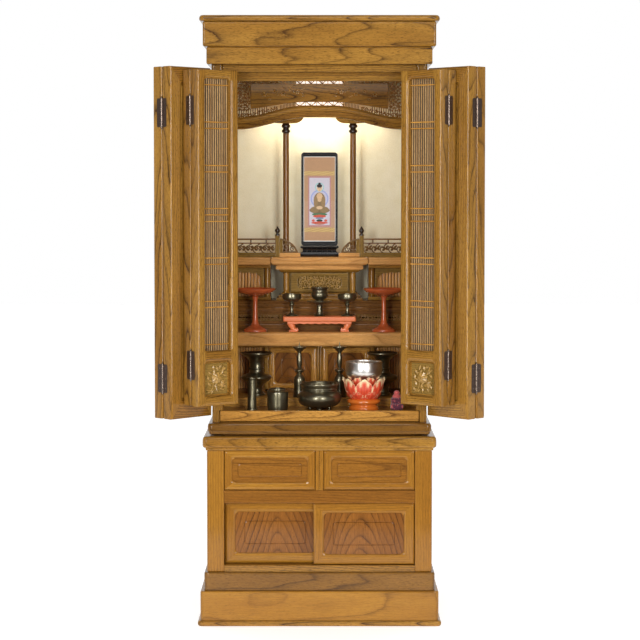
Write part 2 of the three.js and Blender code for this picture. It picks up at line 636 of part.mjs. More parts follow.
// Railing: two rails over scrolled openwork, a post with an onion finial, and a wing that curves down
function railing(side) {
  const place = (x0, x1, z0, z1, t = RAIL_T) => block(Math.min(side * x0, side * x1),
    Math.max(side * x0, side * x1), RAIL_Y - t / 2, RAIL_Y + t / 2, daisTop + z0, daisTop + z1);
  const outer = fitHalf - GAP;
  const inner = RAIL_POST_X;
  const parts = [
    place(inner, outer, 0, 12, RAIL_T + 3),
    place(inner, outer, RAIL_H - 5, RAIL_H),
    place(inner, outer, RAIL_H - 16, RAIL_H - 12, RAIL_T - 2),
  ];
  const bays = 4;
  const pitch = (outer - inner) / bays;
  for (let n = 0; n < bays; n += 1) {
    const x = inner + (n + 0.5) * pitch;
    parts.push(place(x - 2.5, x + 2.5, 10, RAIL_H - 3, RAIL_T - 2));
    const ring = new THREE.Shape();
    ring.absarc(side * (x + pitch / 2), daisTop + 24.5, Math.min(pitch / 2, 13.5), Math.PI / 2, 2.5 * Math.PI);
    const eye = new THREE.Path();
    eye.absarc(side * (x + pitch / 2), daisTop + 24.5, Math.min(pitch / 2, 13.5) - 3.4, 2.5 * Math.PI, Math.PI / 2, true);
    ring.holes.push(eye);
    if (n < bays - 1) parts.push(upright(ring, RAIL_Y - 2, RAIL_Y + 2, 3));
  }
  const postHalf = RAIL_POST_W / 2;
  const neck = 7;
  parts.push(place(inner - postHalf, inner + postHalf, 0, RAIL_H + 10, RAIL_POST_W));
  parts.push(turned([[0, -1], [4, -1], [4, neck - 4], [7, neck - 1], [7.6, neck + 5], [4, neck + 11],
    [1.2, FINIAL_H], [0, FINIAL_H + 1]], side * inner, RAIL_Y, daisTop + RAIL_H + 10, 10));
  const end = inner - postHalf - WING_L;
  parts.push(place(end, inner, 0, 12, RAIL_T + 4));
  const wing = new THREE.Shape();
  const start = inner - postHalf + 1;
  wing.moveTo(side * start, daisTop + RAIL_H);
  wing.quadraticCurveTo(side * (end + 20), daisTop + RAIL_H - 4, side * (end + 7), daisTop + 10);
  wing.lineTo(side * (end + 16), daisTop + 10);
  wing.quadraticCurveTo(side * (end + 28), daisTop + RAIL_H - 14, side * start, daisTop + RAIL_H - 14);
  parts.push(upright(wing, RAIL_Y - RAIL_T / 2, RAIL_Y + RAIL_T / 2, 6));
  parts.push(place(start - 20, start - 15, 10, RAIL_H - 15));
  add(`railing_${side < 0 ? 'left' : 'right'}`, union(parts), carved);
}

// Arched beam: its lower edge is flat in the middle and swings down to the sides
function archDrop(x) {
  const t = THREE.MathUtils.clamp((Math.abs(x) - ARCH_FLAT) / (ARCH_REACH - ARCH_FLAT), 0, 1);
  return BEAM_RISE * t * t * (3 - 2 * t);
}

const beamTop = ceiling - TRANSOM_H;
const beamBottom = beamTop - BEAM_H;
const ARCH_STEPS = 10;

function archBand(zUpper, zLower, half, steps = ARCH_STEPS) {
  const shape = new THREE.Shape();
  for (let n = 0; n <= steps; n += 1) {
    const x = -half + (2 * half * n) / steps;
    const z = zLower(x, archDrop(x));
    if (n) shape.lineTo(x, z);
    else shape.moveTo(x, z);
  }
  for (let n = steps; n >= 0; n -= 1) {
    const x = -half + (2 * half * n) / steps;
    shape.lineTo(x, zUpper(x, archDrop(x)));
  }
  return shape;
}

function archBeam() {
  const lower = archBand((x, d) => beamTop - 13 - d, (x, d) => beamBottom - d, fitHalf);
  const upper = archBand((x, d) => beamTop - d, (x, d) => beamTop - 14 - d, fitHalf);
  add('arched_beam', upright(lower, PILLAR_Y - BEAM_T / 2, PILLAR_Y + BEAM_T / 2)
    .add(upright(upper, PILLAR_Y - BEAM_T / 2 - 4, PILLAR_Y + BEAM_T / 2)), wood);
}

// Transom: a solid board pierced with blossom sprays, in a border of openwork
function transom() {
  const y0 = PILLAR_Y - TRANSOM_T / 2;
  const y1 = PILLAR_Y + TRANSOM_T / 2;
  const outline = archBand(() => ceiling - GAP, (x, d) => beamTop + GAP - d, fitHalf);
  let panel = upright(outline, y0, y1);
  const boardTop = beamTop + TRANSOM_BAND + TRANSOM_BOARD_H;
  const holes = [];
  const buds = [];
  const pitch = 42;
  const reachHoles = fitHalf - 12;
  const count = Math.floor((2 * reachHoles) / pitch);
  for (let n = 0; n < count; n += 1) {
    const x = -reachHoles + ((n + 0.5) * 2 * reachHoles) / count;
    const w = pitch * 0.34;
    holes.push(block(x - w, x + w, y0 - 1, y1 + 1, boardTop + 2, boardTop + 2 + TRANSOM_BAND * 0.7));
    const z = beamTop - archDrop(Math.abs(x) + w) + 3.5;
    holes.push(block(x - w, x + w, y0 - 1, y1 + 1, z, z + TRANSOM_BAND * 0.6));
  }
  for (const side of [-1, 1]) {
    const edge = TRANSOM_BOARD_W / 2;
    for (let n = 0; n < 3; n += 1) {
      const x0 = edge + 6 + n * 20;
      holes.push(block(Math.min(side * x0, side * (x0 + 13)), Math.max(side * x0, side * (x0 + 13)),
        y0 - 1, y1 + 1, beamTop - 2, boardTop - 6));
    }
    for (let n = 0; n < 3; n += 1) {
      const bud = new THREE.CylinderGeometry(3.4, 3.4, TRANSOM_T + 12, 5);
      bud.translate(side * (66 + n * 36), PILLAR_Y, boardTop - 24 - 9 * Math.sin(n * 1.3) - n);
      buds.push(solidOf(bud));
    }
  }
  panel = panel.subtract(union([...holes, ...buds]));
  const rim = TRANSOM_BOARD_W / 2 - 4;
  const field = archBand(() => boardTop - 1, (x, d) => beamTop + TRANSOM_BAND - d * 0.6, rim, 6);
  const raised = upright(field, y0 - 3, y0 + 1).subtract(union(buds));
  add('transom', panel.add(raised), woodDark);
}

// The beam's lower edge at x, along its straight facets
function beamEdge(x) {
  const pitch = (2 * fitHalf) / ARCH_STEPS;
  const at = (x + fitHalf) / pitch;
  const n = Math.floor(at);
  const drop = (k) => archDrop(k * pitch - fitHalf);
  return beamBottom - drop(n) - (at - n) * (drop(n + 1) - drop(n));
}

// Pillar with a turned capital under a bracket whose top follows the arch
function pillar(side) {
  const inner = PILLAR_X - BRACKET_IN;
  const outer = PILLAR_X + BRACKET_OUT;
  const bottom = beamEdge(PILLAR_X) - GAP - BRACKET_H;
  const shaft = bottom - CAPITAL_H - daisTop;
  const r = PILLAR_R;
  const body = turned([[0, 0], [r + 2, 0], [r + 2, 5], [r, 8], [r, shaft],
    [r + 5, shaft + 8], [r, shaft + 14], [r + 5, shaft + 20],
    [r, shaft + CAPITAL_H + 1], [0, shaft + CAPITAL_H + 1]],
  side * PILLAR_X, PILLAR_Y, daisTop, 8);
  const bracket = new THREE.Shape();
  bracket.moveTo(side * outer, beamEdge(outer) - GAP);
  bracket.quadraticCurveTo(side * (outer - 6), bottom, side * (PILLAR_X + 14), bottom);
  bracket.lineTo(side * (PILLAR_X - BRACKET_IN * 0.4), bottom);
  bracket.quadraticCurveTo(side * (PILLAR_X - BRACKET_IN * 0.76), bottom + 1, side * inner, beamEdge(inner) - GAP);
  for (let n = 0; n <= ARCH_STEPS; n += 1) {
    const x = (2 * fitHalf * n) / ARCH_STEPS - fitHalf;
    if (x > inner + 1 && x < outer - 1) bracket.lineTo(side * x, beamEdge(x) - GAP);
  }
  add(`pillar_${side < 0 ? 'left' : 'right'}`, body.add(upright(bracket, PILLAR_Y - 8, PILLAR_Y + 8, 4)), wood);
}

function backCloth() {
  add('gold_cloth_back', block(-fitHalf, fitHalf, CLOTH_Y, CLOTH_Y + CLOTH_T, shelfTop, ceiling - GAP), cloth);
}

// Black lacquer stand with a shallow frame, and the mounted picture in it
function scrollStand() {
  const half = STAND_FRAME_W / 2;
  const frameBottom = daisTop + STAND_FOOT_H;
  const top = daisTop + STAND_H;
  const y0 = SCROLL_Y - STAND_FRAME_T / 2;
  const y1 = SCROLL_Y + STAND_FRAME_T / 2;
  const frame = upright(roundRect(-half, half, frameBottom - 1, top, 9), y0, y1)
    .subtract(upright(roundRect(-half + STAND_RIM, half - STAND_RIM, frameBottom + STAND_RIM, top - STAND_RIM, 5),
      y0 - 1, y1 - 5));
  const foot1 = nosed(-STAND_W / 2, STAND_W / 2, SCROLL_Y - STAND_D / 2, SCROLL_Y + STAND_D / 2,
    daisTop, daisTop + 12, 0, 2);
  const waist = nosed(-STAND_W / 2 + 6, STAND_W / 2 - 6, SCROLL_Y - STAND_D / 2 + 7, SCROLL_Y + STAND_D / 2 - 7,
    daisTop + 11, daisTop + 24, 0, 2);
  const foot2 = nosed(-STAND_W / 2 + 1, STAND_W / 2 - 1, SCROLL_Y - STAND_D / 2 + 3, SCROLL_Y + STAND_D / 2 - 3,
    daisTop + 23, frameBottom, 0, 2);
  add('scroll_stand', union([frame, foot1, waist, foot2]), lacquerBlack);
  const w = half - STAND_RIM - GAP;
  add('scroll_picture', block(-w, w, y1 - 5 - GAP - SCROLL_T, y1 - 5 - GAP, frameBottom + STAND_RIM + 6,
    top - STAND_RIM - 6), scrollCloth);
}

// Furnishings that rest on the shelf
function offeringTable(z, y) {
  const half = OFFER.w / 2;
  const deep = OFFER.d / 2;
  const under = OFFER.h - OFFER.top;
  const board = nosed(-half, half, y - deep, y + deep, z + under, z + OFFER.h, 3, 4);
  const apron = block(-half + 12, half - 12, y - deep + 6, y + deep - 6, z + under - 8, z + under + 1);
  const legs = [-1, 1].flatMap((sx) => [-1, 1].map((sy) => {
    const shape = new THREE.Shape();
    const x = sx * (half - 30);
    shape.moveTo(x - sx * 14, z + under);
    shape.quadraticCurveTo(x - sx * 12, z + 12, x - sx * 4, z + 8);
    shape.lineTo(x - sx * 8, z);
    shape.lineTo(x + sx * 12, z);
    shape.quadraticCurveTo(x + sx * 2, z + 12, x + sx * 16, z + under);
    const ya = y + sy * (deep - 14);
    return upright(shape, ya - 5, ya + 5, 3);
  }));
  add('offering_table', union([board, apron, ...legs]), vermilion);
}

function tazza(side, z) {
  const { h, r } = TAZZA;
  add(`tazza_${side < 0 ? 'left' : 'right'}`, turned([[0, 0], [33, 0], [31, 5], [9, 20], [5.5, 40],
    [5.5, h - 30], [10, h - 20], [r * 0.6, h - 14], [r, h], [r - 3, h], [r * 0.6, h - 8],
    [0, h - 10]], side * TAZZA.x, TAZZA.y, z, 12), lacquerRed);
}

function stemCup(side, z, y) {
  const { h, r } = CUP;
  add(`stem_cup_${side < 0 ? 'left' : 'right'}`, turned([[0, 0], [17, 0], [5, 10], [4.5, h - 36],
    [8, h - 32], [5, h - 27], [r * 0.75, h - 21], [r, h - 11], [r * 0.96, h], [r * 0.84, h], [r * 0.84, h - 11],
    [0, h - 18]], side * CUP.x, y, z), bronze);
}

function riceBowl(z, y) {
  const { h, r, saucer } = RICE;
  add('rice_bowl', turned([[0, 0], [15, 0], [9, 10], [9, h - 45], [saucer, h - 41],
    [saucer, h - 38], [12, h - 36], [r * 0.95, h - 24], [r * 0.9, h - 8], [r, h],
    [r - 4, h], [r * 0.74, h - 20], [0, h - 28]], 0, y, z), bronze);
}

// Furnishings that rest in the lower chamber
function vase(side, z) {
  const { h, r } = VASE;
  add(`vase_${side < 0 ? 'left' : 'right'}`, turned([[0, 0], [25, 0], [16, 18], [24, 36],
    [r, 49], [r, 55], [22, 64], [18, 84], [24, h - 20], [r, h - 6], [r, h], [r - 4, h],
    [18, h - 22], [13, 62], [0, 56]], side * VASE.x, VASE.y, z), bronze);
}

function candlestick(side, z) {
  const { h, r } = CANDLE;
  add(`candlestick_${side < 0 ? 'left' : 'right'}`, turned([[0, 0], [18, 0], [15, 26], [16, 46],
    [6, 64], [10, 75], [4.5, 86], [4.5, h - 48], [7, h - 42], [4, h - 34],
    [r, h - 14], [3, h - 18], [0, h]], side * CANDLE.x, CANDLE.y, z, 8), bronze);
}

function censer(z) {
  const { x, y, h, r } = CENSER;
  const bowl = turned([[0, 6], [r * 0.45, 6], [r * 0.8, 12], [r, 32], [r * 0.76, 54],
    [r * 0.88, h - 6], [r * 0.88, h], [r * 0.74, h], [r * 0.68, 54],
    [r * 0.9, 32], [r * 0.72, 18], [0, 13]], x, y, z, 12);
  const feet = [0, 1, 2].map((n) => {
    const a = THREE.MathUtils.degToRad(-90 + n * 120);
    return turned([[0, 0], [6, 0], [8, 6], [8, 11], [0, 13]], x + r * 0.5 * Math.cos(a), y + r * 0.5 * Math.sin(a),
      z, 6);
  });
  add('censer', union([bowl, ...feet]), bronze);
}

function bell(z) {
  const { x, y } = BELL;
  const { h, r } = LOTUS;
  const seat = h * 0.773;
  const base = turned([[0, 0], [r * 0.635, 0], [r * 0.65, h * 0.07], [r * 0.59, h * 0.125], [r * 0.7, h * 0.185],
    [r * 0.73, h * 0.25], [r * 0.5, h * 0.31], [r * 0.62, seat - 2], [0, seat - 2]], x, y, z, 10);
  const petals = 8;
  const crownOf = [];
  for (let n = 0; n < petals; n += 1) {
    const petal = new THREE.SphereGeometry(1, 5, 3);
    petal.scale(r * 0.27, r * 0.143, h * 0.35);
    petal.rotateX(THREE.MathUtils.degToRad(-14));
    petal.translate(0, -r * 0.73, 0);
    petal.rotateZ((2 * Math.PI * n) / petals);
    petal.translate(x, y, z + h * 0.62);
    crownOf.push(solidOf(petal));
  }
  const hollow = turned([[0, seat - 6], [r * 0.6, seat - 4], [r * 0.86, h * 1.02], [0, h * 1.02]], x, y, z, 8);
  add('lotus_stand', union([base, ...crownOf]).subtract(hollow), lotusRed);
  const b = BELL.h;
  const br = BELL.r;
  add('bell', turned([[0, 0], [br * 0.5, 1], [br * 0.86, 9], [br, 26], [br * 0.97, b], [br * 0.9, b],
    [br * 0.92, 26], [br * 0.78, 12], [0, 5]], x, y, z + seat + 7, 12), silver);
}

function incenseHolder(z) {
  const { x, y, h, r } = INCENSE;
  add('incense_holder', turned([[0, 0], [r, 0], [r - 2, 8], [r - 2.5, h - 8], [r, h - 4], [r, h],
    [r - 3.5, h], [r - 5, 6], [0, 6]], x, y, z), bronze);
}

function ashPot(z) {
  const { x, y, h, r } = POT;
  add('match_pot', turned([[0, 0], [r - 3, 0], [r, h - 12], [r - 4, h - 4],
    [r - 8, h], [r - 11, h], [r - 5, h - 13], [r - 6, 6], [0, 6]], x, y, z), bronze);
}

function strikerRest(z) {
  const { x, y, w, h } = REST;
  const half = w / 2;
  const body = nosed(x - half, x + half, y - half, y + half, z, z + h - 14, 6, 5);
  const top = new THREE.SphereGeometry(1, 8, 4);
  top.scale(half * 0.55, half * 0.55, 14);
  top.translate(x, y, z + h - 16);
  add('striker_cushion', body.add(solidOf(top)), brocade);
}

foot();
lowerCase();
sill();
upperCase();
crown();
tray();
lowerChamber();
altarBase();
altarTable();
archBeam();
transom();
backCloth();
scrollStand();
for (const side of [-1, 1]) {
  drawer(side);
  slidingDoor(side);
  doorPair(side);
  daisWing(side);
  railing(side);
  pillar(side);
  tazza(side, shelfTop);
  stemCup(side, shelfTop + OFFER.h, TAZZA.y);
  vase(side, stepTop);
  candlestick(side, stepTop);
}
offeringTable(shelfTop, TAZZA.y + 6);
riceBowl(shelfTop + OFFER.h, TAZZA.y);
censer(floorTop);
bell(floorTop);
incenseHolder(floorTop);
ashPot(floorTop);
strikerRest(floorTop);

export default root;
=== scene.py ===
"""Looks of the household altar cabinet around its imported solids. Shapes are in millimetres until they are built."""
import math
import random

import bmesh
import bpy
import numpy as np
from mathutils import Matrix, Vector, geometry


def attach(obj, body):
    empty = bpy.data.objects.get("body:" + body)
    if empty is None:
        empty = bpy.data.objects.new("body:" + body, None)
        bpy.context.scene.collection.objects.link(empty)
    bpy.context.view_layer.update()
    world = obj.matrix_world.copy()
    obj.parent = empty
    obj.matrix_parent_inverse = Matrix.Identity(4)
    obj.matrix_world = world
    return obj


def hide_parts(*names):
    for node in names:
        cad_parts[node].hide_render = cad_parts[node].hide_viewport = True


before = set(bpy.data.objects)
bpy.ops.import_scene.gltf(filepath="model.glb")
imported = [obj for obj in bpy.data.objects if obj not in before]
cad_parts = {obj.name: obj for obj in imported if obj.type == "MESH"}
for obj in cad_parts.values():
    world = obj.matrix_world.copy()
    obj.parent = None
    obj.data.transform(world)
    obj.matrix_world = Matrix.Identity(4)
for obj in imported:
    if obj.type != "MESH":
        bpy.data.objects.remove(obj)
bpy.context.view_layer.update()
rng = random.Random(11)
MM = 0.001
SEG = 4  # steps round a quarter circle
SIDES = {-1: "left", 1: "right"}

# Levels and faces of the solids
PLINTH_TOP, RISER_TOP, LOWER_TOP, SILL_BOTTOM, SILL_TOP = 94, 143, 472, 510.5, 545
SLIDE_0, SLIDE_1, BAY_0 = 161, 329, 364
CASE_TOP, CEILING, BOARD_TOP = 1505, 1493, 576
FLOOR_TOP, STEP_TOP, SHELF_0, SHELF_1, ALTAR_TOP, DAIS = 568, 592.5, 731, 771, 856, 980
DAIS_LOW, BEAM_TOP = DAIS - 23.5, 1409
BACK, BACK_IN, LOWER_FRONT, POST_BACK, CASE_FRONT, JAMB_BACK = 265, 253, -255, -195, -222, -186
CASE_HALF, WALL_IN, OPEN_HALF, FIT = 289.5, 271.5, 259, 271.1
LOWER_HALF, LOWER_IN, BAY_HALF = 302.5, 284.5, 256.5
BEHIND, ALTAR_BACK = 252.6, 199.6
ROW = 36  # Y of the offerings on the shelf


# ---------------------------------------------------------------- materials
def srgb(r, g, b):
    return tuple((c / 255 / 12.92) if c / 255 <= 0.04045 else ((c / 255 + 0.055) / 1.055) ** 2.4 for c in (r, g, b))


class Mat:
    """A node material, with short calls for its nodes."""

    def __init__(self, name, **sockets):
        self.mat = bpy.data.materials.new(name)
        self.mat.use_nodes = True
        self.tree = self.mat.node_tree
        self.bsdf = self.tree.nodes["Principled BSDF"]
        for key, value in sockets.items():
            self.bsdf.inputs[key.replace("_", " ")].default_value = value

    def put(self, socket, value):
        if isinstance(value, bpy.types.NodeSocket):
            self.tree.links.new(value, socket)
        elif value is not None:
            socket.default_value = value

    def node(self, kind, out, ins, **props):
        """An output of a new node, its inputs set or linked by name or number."""
        n = self.tree.nodes.new("ShaderNode" + kind)
        for key, value in props.items():
            setattr(n, key, value)
        for key, value in ins.items():
            self.put(n.inputs[key], value)
        return n.outputs[out]

    def math(self, op, a, b=None, c=None):
        return self.node("Math", 0, {0: a, 1: b, 2: c}, operation=op)

    def grain(self):
        return self.node("Attribute", "Vector", {}, attribute_name="gco")

    def coords(self):
        return self.node("TexCoord", "Object", {})

    def scaled(self, vector, x, y, z):
        return self.node("VectorMath", 0, {0: vector, 1: (x, y, z)}, operation="MULTIPLY")

    def noise(self, vector, scale=1.0, detail=2.0, rough=0.5):
        return self.node("TexNoise", 0, {"Vector": vector, "Scale": scale, "Detail": detail, "Roughness": rough})

    def ramp(self, fac, *stops):
        n = self.tree.nodes.new("ShaderNodeValToRGB")
        self.put(n.inputs[0], fac)
        while len(n.color_ramp.elements) < len(stops):
            n.color_ramp.elements.new(0.5)
        for e, (pos, grey) in zip(n.color_ramp.elements, stops):
            e.position = pos
            e.color = (grey, grey, grey, 1)
        return n.outputs[0]

    def mix(self, fac, a, b, blend="MIX"):
        a, b = (v if isinstance(v, bpy.types.NodeSocket) else (*v, 1) for v in (a, b))
        return self.node("Mix", 2, {0: fac, 6: a, 7: b}, data_type="RGBA", blend_type=blend)

    def soft_mix(self, pattern, a, b, edge=0.3):
        """Two colours that swap as the pattern passes its middle."""
        return self.mix(self.ramp(pattern, (edge, 0), (1 - edge, 1)), a, b)

    def shade(self, base, pattern, low, high, edge=0.3):
        """Sets the colour, darkened and lightened by a fine pattern."""
        self.color(self.mix(1.0, base, self.ramp(pattern, (edge, low), (1 - edge, high)), "MULTIPLY"))

    def color(self, value):
        self.put(self.bsdf.inputs["Base Color"], value)

    def roughness(self, pattern, span, low):
        self.put(self.bsdf.inputs["Roughness"], self.math("MULTIPLY_ADD", pattern, span, low))

    def bump(self, height, strength, distance=0.0004):
        ins = {"Strength": strength, "Distance": distance, "Height": height}
        self.put(self.bsdf.inputs["Normal"], self.node("Bump", 0, ins))


def wood(name, light, mid, dark, spacing=5.5, tilt=0.04, line=1.0, pore=0.5):
    """Ring-porous hardwood: rings round an axis beside the board, warped, with fibre and pores along the grain."""
    m = Mat(name, Coat_Weight=0.6, Coat_Roughness=0.11, Specular_IOR_Level=0.03)
    light, mid, dark = srgb(*light), srgb(*mid), srgb(*dark)
    g = m.grain()
    along = m.node("SeparateXYZ", 0, {0: g})
    radius = m.node("VectorMath", 1, {0: m.scaled(g, 0, 1, 1)}, operation="LENGTH")
    warp = m.noise(m.scaled(g, 2.0, 10, 10))
    rag = m.noise(m.scaled(g, 70, 330, 330), rough=0.6)
    shift = m.math("MULTIPLY_ADD", m.math("SUBTRACT", warp, 0.5), 0.04, m.math("MULTIPLY", along, tilt))
    pos = m.math("DIVIDE", m.math("ADD", radius, shift), spacing * MM)
    ring = m.math("FRACT", m.math("MULTIPLY_ADD", rag, 0.14, pos))
    late = m.ramp(ring, (0, 1.0), (0.06, 0.6), (0.16, 0.25), (0.4, 0.08), (0.85, 0.0), (0.96, 0.35), (1, 1.0))
    vary = m.noise(m.scaled(g, 1.2, 22, 22))
    late = m.math("MULTIPLY", late, m.ramp(vary, (0.36, 0.45 * line), (0.62, 0.95 * line)))
    fibre = m.noise(m.scaled(g, 26, 420, 420), 1, 3, 0.65)
    tone = m.noise(m.scaled(g, 1.5, 9, 9))
    base = m.mix(late, m.soft_mix(tone, light, mid, 0.34), dark)
    pores = m.ramp(m.noise(m.scaled(g, 110, 760, 760), 1, 1, 0.4), (0.56, 0.0), (0.66, 1.0))
    m.shade(m.mix(m.math("MULTIPLY", pores, pore), base, dark), fibre, 0.76, 1.2, 0.25)
    m.roughness(fibre, 0.14, 0.33)
    m.bump(m.math("ADD", m.math("MULTIPLY", pores, -1.0), m.math("MULTIPLY", late, -0.5)), 0.22, 0.00025)
    return m.mat


def plain(name, color, rough, metal=0.0, spread=0.12, scale=60.0, bump=0.0, **sockets):
    """A turned, cast or lacquered surface, uneven in tone and polish. Its colour is linear, or sRGB up to 255."""
    m = Mat(name, Metallic=metal, **sockets)
    color = srgb(*color) if max(color) > 1 else color
    p = m.coords()
    dark, bright = (tuple(c * k for c in color) for k in (1 - spread, 1 + spread))
    m.color(m.soft_mix(m.noise(p, scale, 3, 0.55), dark, bright))
    fine = m.noise(p, scale * 7)
    m.roughness(fine, rough * 0.4, rough * 0.8)
    if bump:
        m.bump(fine, bump)
    return m.mat


def cloth_material():
    """Woven lining with a slow mottle and a fine thread pattern."""
    m = Mat("gold_cloth", Sheen_Weight=0.25, Sheen_Roughness=0.4)
    p = m.coords()
    thread = m.noise(p, 420, 2, 0.6)
    m.shade(m.soft_mix(m.noise(p, 26, 4, 0.65), srgb(238, 228, 192), srgb(246, 238, 208)), thread, 0.9, 1.06)
    m.roughness(thread, 0.2, 0.55)
    m.bump(thread, 0.25)
    return m.mat


def gauze_material():
    """Brown silk gauze."""
    m = Mat("silk_gauze", Roughness=0.5, Sheen_Weight=0.4)
    g = m.grain()
    weave = m.noise(m.scaled(g, 900, 900, 900), 1, 1)
    slow = m.noise(m.scaled(g, 6, 18, 18))
    m.shade(m.soft_mix(slow, srgb(74, 56, 36), srgb(98, 76, 50)), weave, 0.82, 1.12)
    m.bump(weave, 0.3, 0.0003)
    return m.mat


def brocade_material():
    """Small two-coloured figures on a plain weave."""
    m = Mat("brocade", Roughness=0.62, Sheen_Weight=0.5)
    p = m.coords()
    cells = m.node("TexVoronoi", "Distance", {"Vector": p, "Scale": 190})
    base = m.mix(m.ramp(cells, (0.25, 0), (0.4, 1)), srgb(196, 92, 96), srgb(98, 34, 58))
    m.shade(base, m.noise(p, 900, 1), 0.75, 1.15)
    warp, weft = (m.math("SINE", m.math("MULTIPLY", m.node("SeparateXYZ", k, {0: p}), 2 * math.pi / 0.0012))
                  for k in (0, 2))
    m.bump(m.math("MULTIPLY", warp, weft), 0.5)
    return m.mat


def tinted(name, rough, **sockets):
    """Painted or woven colours carried by the mesh."""
    m = Mat(name, **sockets)
    fine = m.noise(m.coords(), 500)
    m.shade(m.node("Attribute", "Color", {}, attribute_name="tint"), fine, 0.88, 1.08)
    m.roughness(fine, 0.12, rough)
    return m.mat


def glow_material(name, rough, strength, glow, scale, dim, bright):
    """A surface that gives its own light."""
    m = Mat(name, Emission_Strength=strength, Roughness=rough, Emission_Color=(*glow, 1))
    m.color(m.mix(m.noise(m.coords(), scale), dim, bright))
    return m.mat


M = {
    "wood": wood("wood_satin", (170, 124, 51), (146, 100, 35), (60, 34, 11), line=1.15),
    "wood_calm": wood("wood_even", (164, 114, 38), (148, 98, 29), (88, 50, 15), 7, 0.012, 0.6, 0.25),
    # Darker wood for the sill and riser, darkened beyond the wood's own tone as painted shade.
    "wood_deep": wood("wood_deep", (134, 92, 34), (115, 77, 26), (52, 29, 8), 7, 0.02, 0.8, 0.4),
    "wood_arch": wood("wood_arched_figure", (142, 89, 33), (122, 73, 24), (62, 34, 10), 13, 0.3, 1.1, 0.3),
    "wood_fine": wood("wood_fine_grain", (186, 134, 62), (168, 114, 44), (100, 62, 22), 5, 0.01, 0.6),
    "wood_drawer": wood("wood_drawer_panel", (146, 96, 32), (134, 85, 27), (78, 45, 13), 8, 0.03, 0.7, 0.35),
    "wood_dark": wood("wood_dark", (140, 94, 42), (112, 72, 30), (52, 30, 10), 7, 0.02, 0.9),
    "wood_olive": wood("wood_olive", (152, 120, 58), (128, 98, 44), (72, 48, 16), 6, 0.02, 0.7),
    "wood_light": wood("wood_light", (208, 152, 72), (184, 128, 52), (96, 58, 20)),
    # Paler wood for the drawer boxes and the parts inside the altar; inside, its extra lightness is painted light for
    # how brightly the interior is lit.
    "wood_pale": wood("wood_pale", (212, 158, 92), (192, 134, 70), (136, 84, 36), 8, 0.02, 0.6, 0.3),
    "slat": wood("lattice_slat", (206, 168, 116), (182, 142, 92), (120, 84, 48), 5, 0.01, 0.4),
    "carved": plain("carved_wood", (138, 96, 42), 0.42, 0, 0.3, 90, 0.2),
    "carved_dark": plain("carved_dark_wood", (108, 78, 38), 0.4, 0, 0.3, 90, 0.2),
    "gilt": plain("gilt_carving", (166, 128, 62), 0.32, 0, 0.35, 160, 0.2, Coat_Weight=0.3),
    "bronze": plain("dark_bronze", (0.160, 0.140, 0.085), 0.3, 0.9, 0.2, 30, Coat_Weight=0.5, Coat_Roughness=0.08),
    "hinge": plain("hinge_bronze", (0.050, 0.026, 0.016), 0.4, 0.35, 0.3, 200, 0.15),
    "hinge_pin": plain("hinge_pin", (0.20, 0.15, 0.12), 0.24, 0.9, 0.15, 100),
    "silver": plain("bell_metal", (0.80, 0.77, 0.72), 0.3, 1.0, 0.06, 40),
    "black": plain("black_lacquer", (0.003, 0.003, 0.0035), 0.2, 0, 0.1, 50, Coat_Weight=0.4, Coat_Roughness=0.06),
    "knob": plain("dark_knob", (42, 26, 14), 0.16, 0, 0.2, 80, Coat_Weight=0.6, Coat_Roughness=0.07),
    "red": plain("red_lacquer", (188, 90, 48), 0.2, 0, 0.16, 40, Coat_Weight=0.6, Coat_Roughness=0.08),
    "vermilion": plain("vermilion_lacquer", (214, 114, 64), 0.36, 0, 0.07, 60, Coat_Weight=0.15),
    "orange": plain("orange_lacquer", (206, 106, 36), 0.22, 0, 0.1, 60, Coat_Weight=0.5, Coat_Roughness=0.1),
    "mount": plain("silver_mount", (232, 230, 226), 0.3, 0.2, 0.04, 200),
    "ash": plain("ash", (176, 172, 160), 0.95, 0, 0.12, 400, 0.6),
    "red_cloth": plain("red_silk", (214, 96, 92), 0.55, 0, 0.15, 300, 0.4, Sheen_Weight=0.4),
    "cloth": cloth_material(),
    "gauze": gauze_material(),
    "brocade": brocade_material(),
    "scroll": tinted("scroll_painting", 0.6),
    "petal": tinted("painted_petal", 0.3, Coat_Weight=0.3),
    "glow": glow_material("lamp_glow", 0.6, 0.9, (1.0, 0.86, 0.76), 40, srgb(255, 236, 214), srgb(255, 250, 240)),
}


# ---------------------------------------------------------------- shapes
def ends(s, a, b):
    """The lower and upper X of a span on side s."""
    return sorted((s * a, s * b))


def spaced(a, b, n):
    """The middles of n equal parts of a span."""
    return [a + (k + 0.5) * (b - a) / n for k in range(n)]


def around(n, start=0.0):
    """Angles of n even steps round a circle."""
    return [start + 2 * math.pi * k / n for k in range(n)]


def quarter(width, depth, steps):
    """(inset, height) steps of a rounded edge, from the face round to the side."""
    return [(width * (1 - math.sin(a)), depth * (1 - math.cos(a))) for a in np.linspace(0, math.pi / 2, steps + 1)]


def rrect(x0, x1, y0, y1, rf, rb=None, seg=SEG):
    """Corner points of a rounded rectangle, the front (low y) corners with radius rf and the others with rb."""
    rb = rf if rb is None else rb
    pts = []
    for cx, cy, r, a in ((x1, y0, rf, -90), (x1, y1, rb, 0), (x0, y1, rb, 90), (x0, y0, rf, 180)):
        r = max(r, 0.05)
        ox = cx - r if cx == x1 else cx + r
        oy = cy - r if cy == y1 else cy + r
        for k in range(seg + 1):
            t = math.radians(a + 90 * k / seg)
            pts.append((ox + r * math.cos(t), oy + r * math.sin(t)))
    return pts


def bridge(rings):
    """Quads between rings of points and a face over each end, with the place of each quad in its ring."""
    n = len(rings[0])
    faces, where = [], []
    for a in range(0, (len(rings) - 1) * n, n):
        for j in range(n):
            k = (j + 1) % n
            faces.append((a + j, a + k, a + n + k, a + n + j))
            where.append(j)
    faces.append(tuple(reversed(range(n))))
    faces.append(tuple(range((len(rings) - 1) * n, len(rings) * n)))
    return [p for ring in rings for p in ring], faces, where + [-1, -1]


def skin(rings):
    """Bridged rings as one plain surface."""
    return bridge(rings)[:2] + (None,)


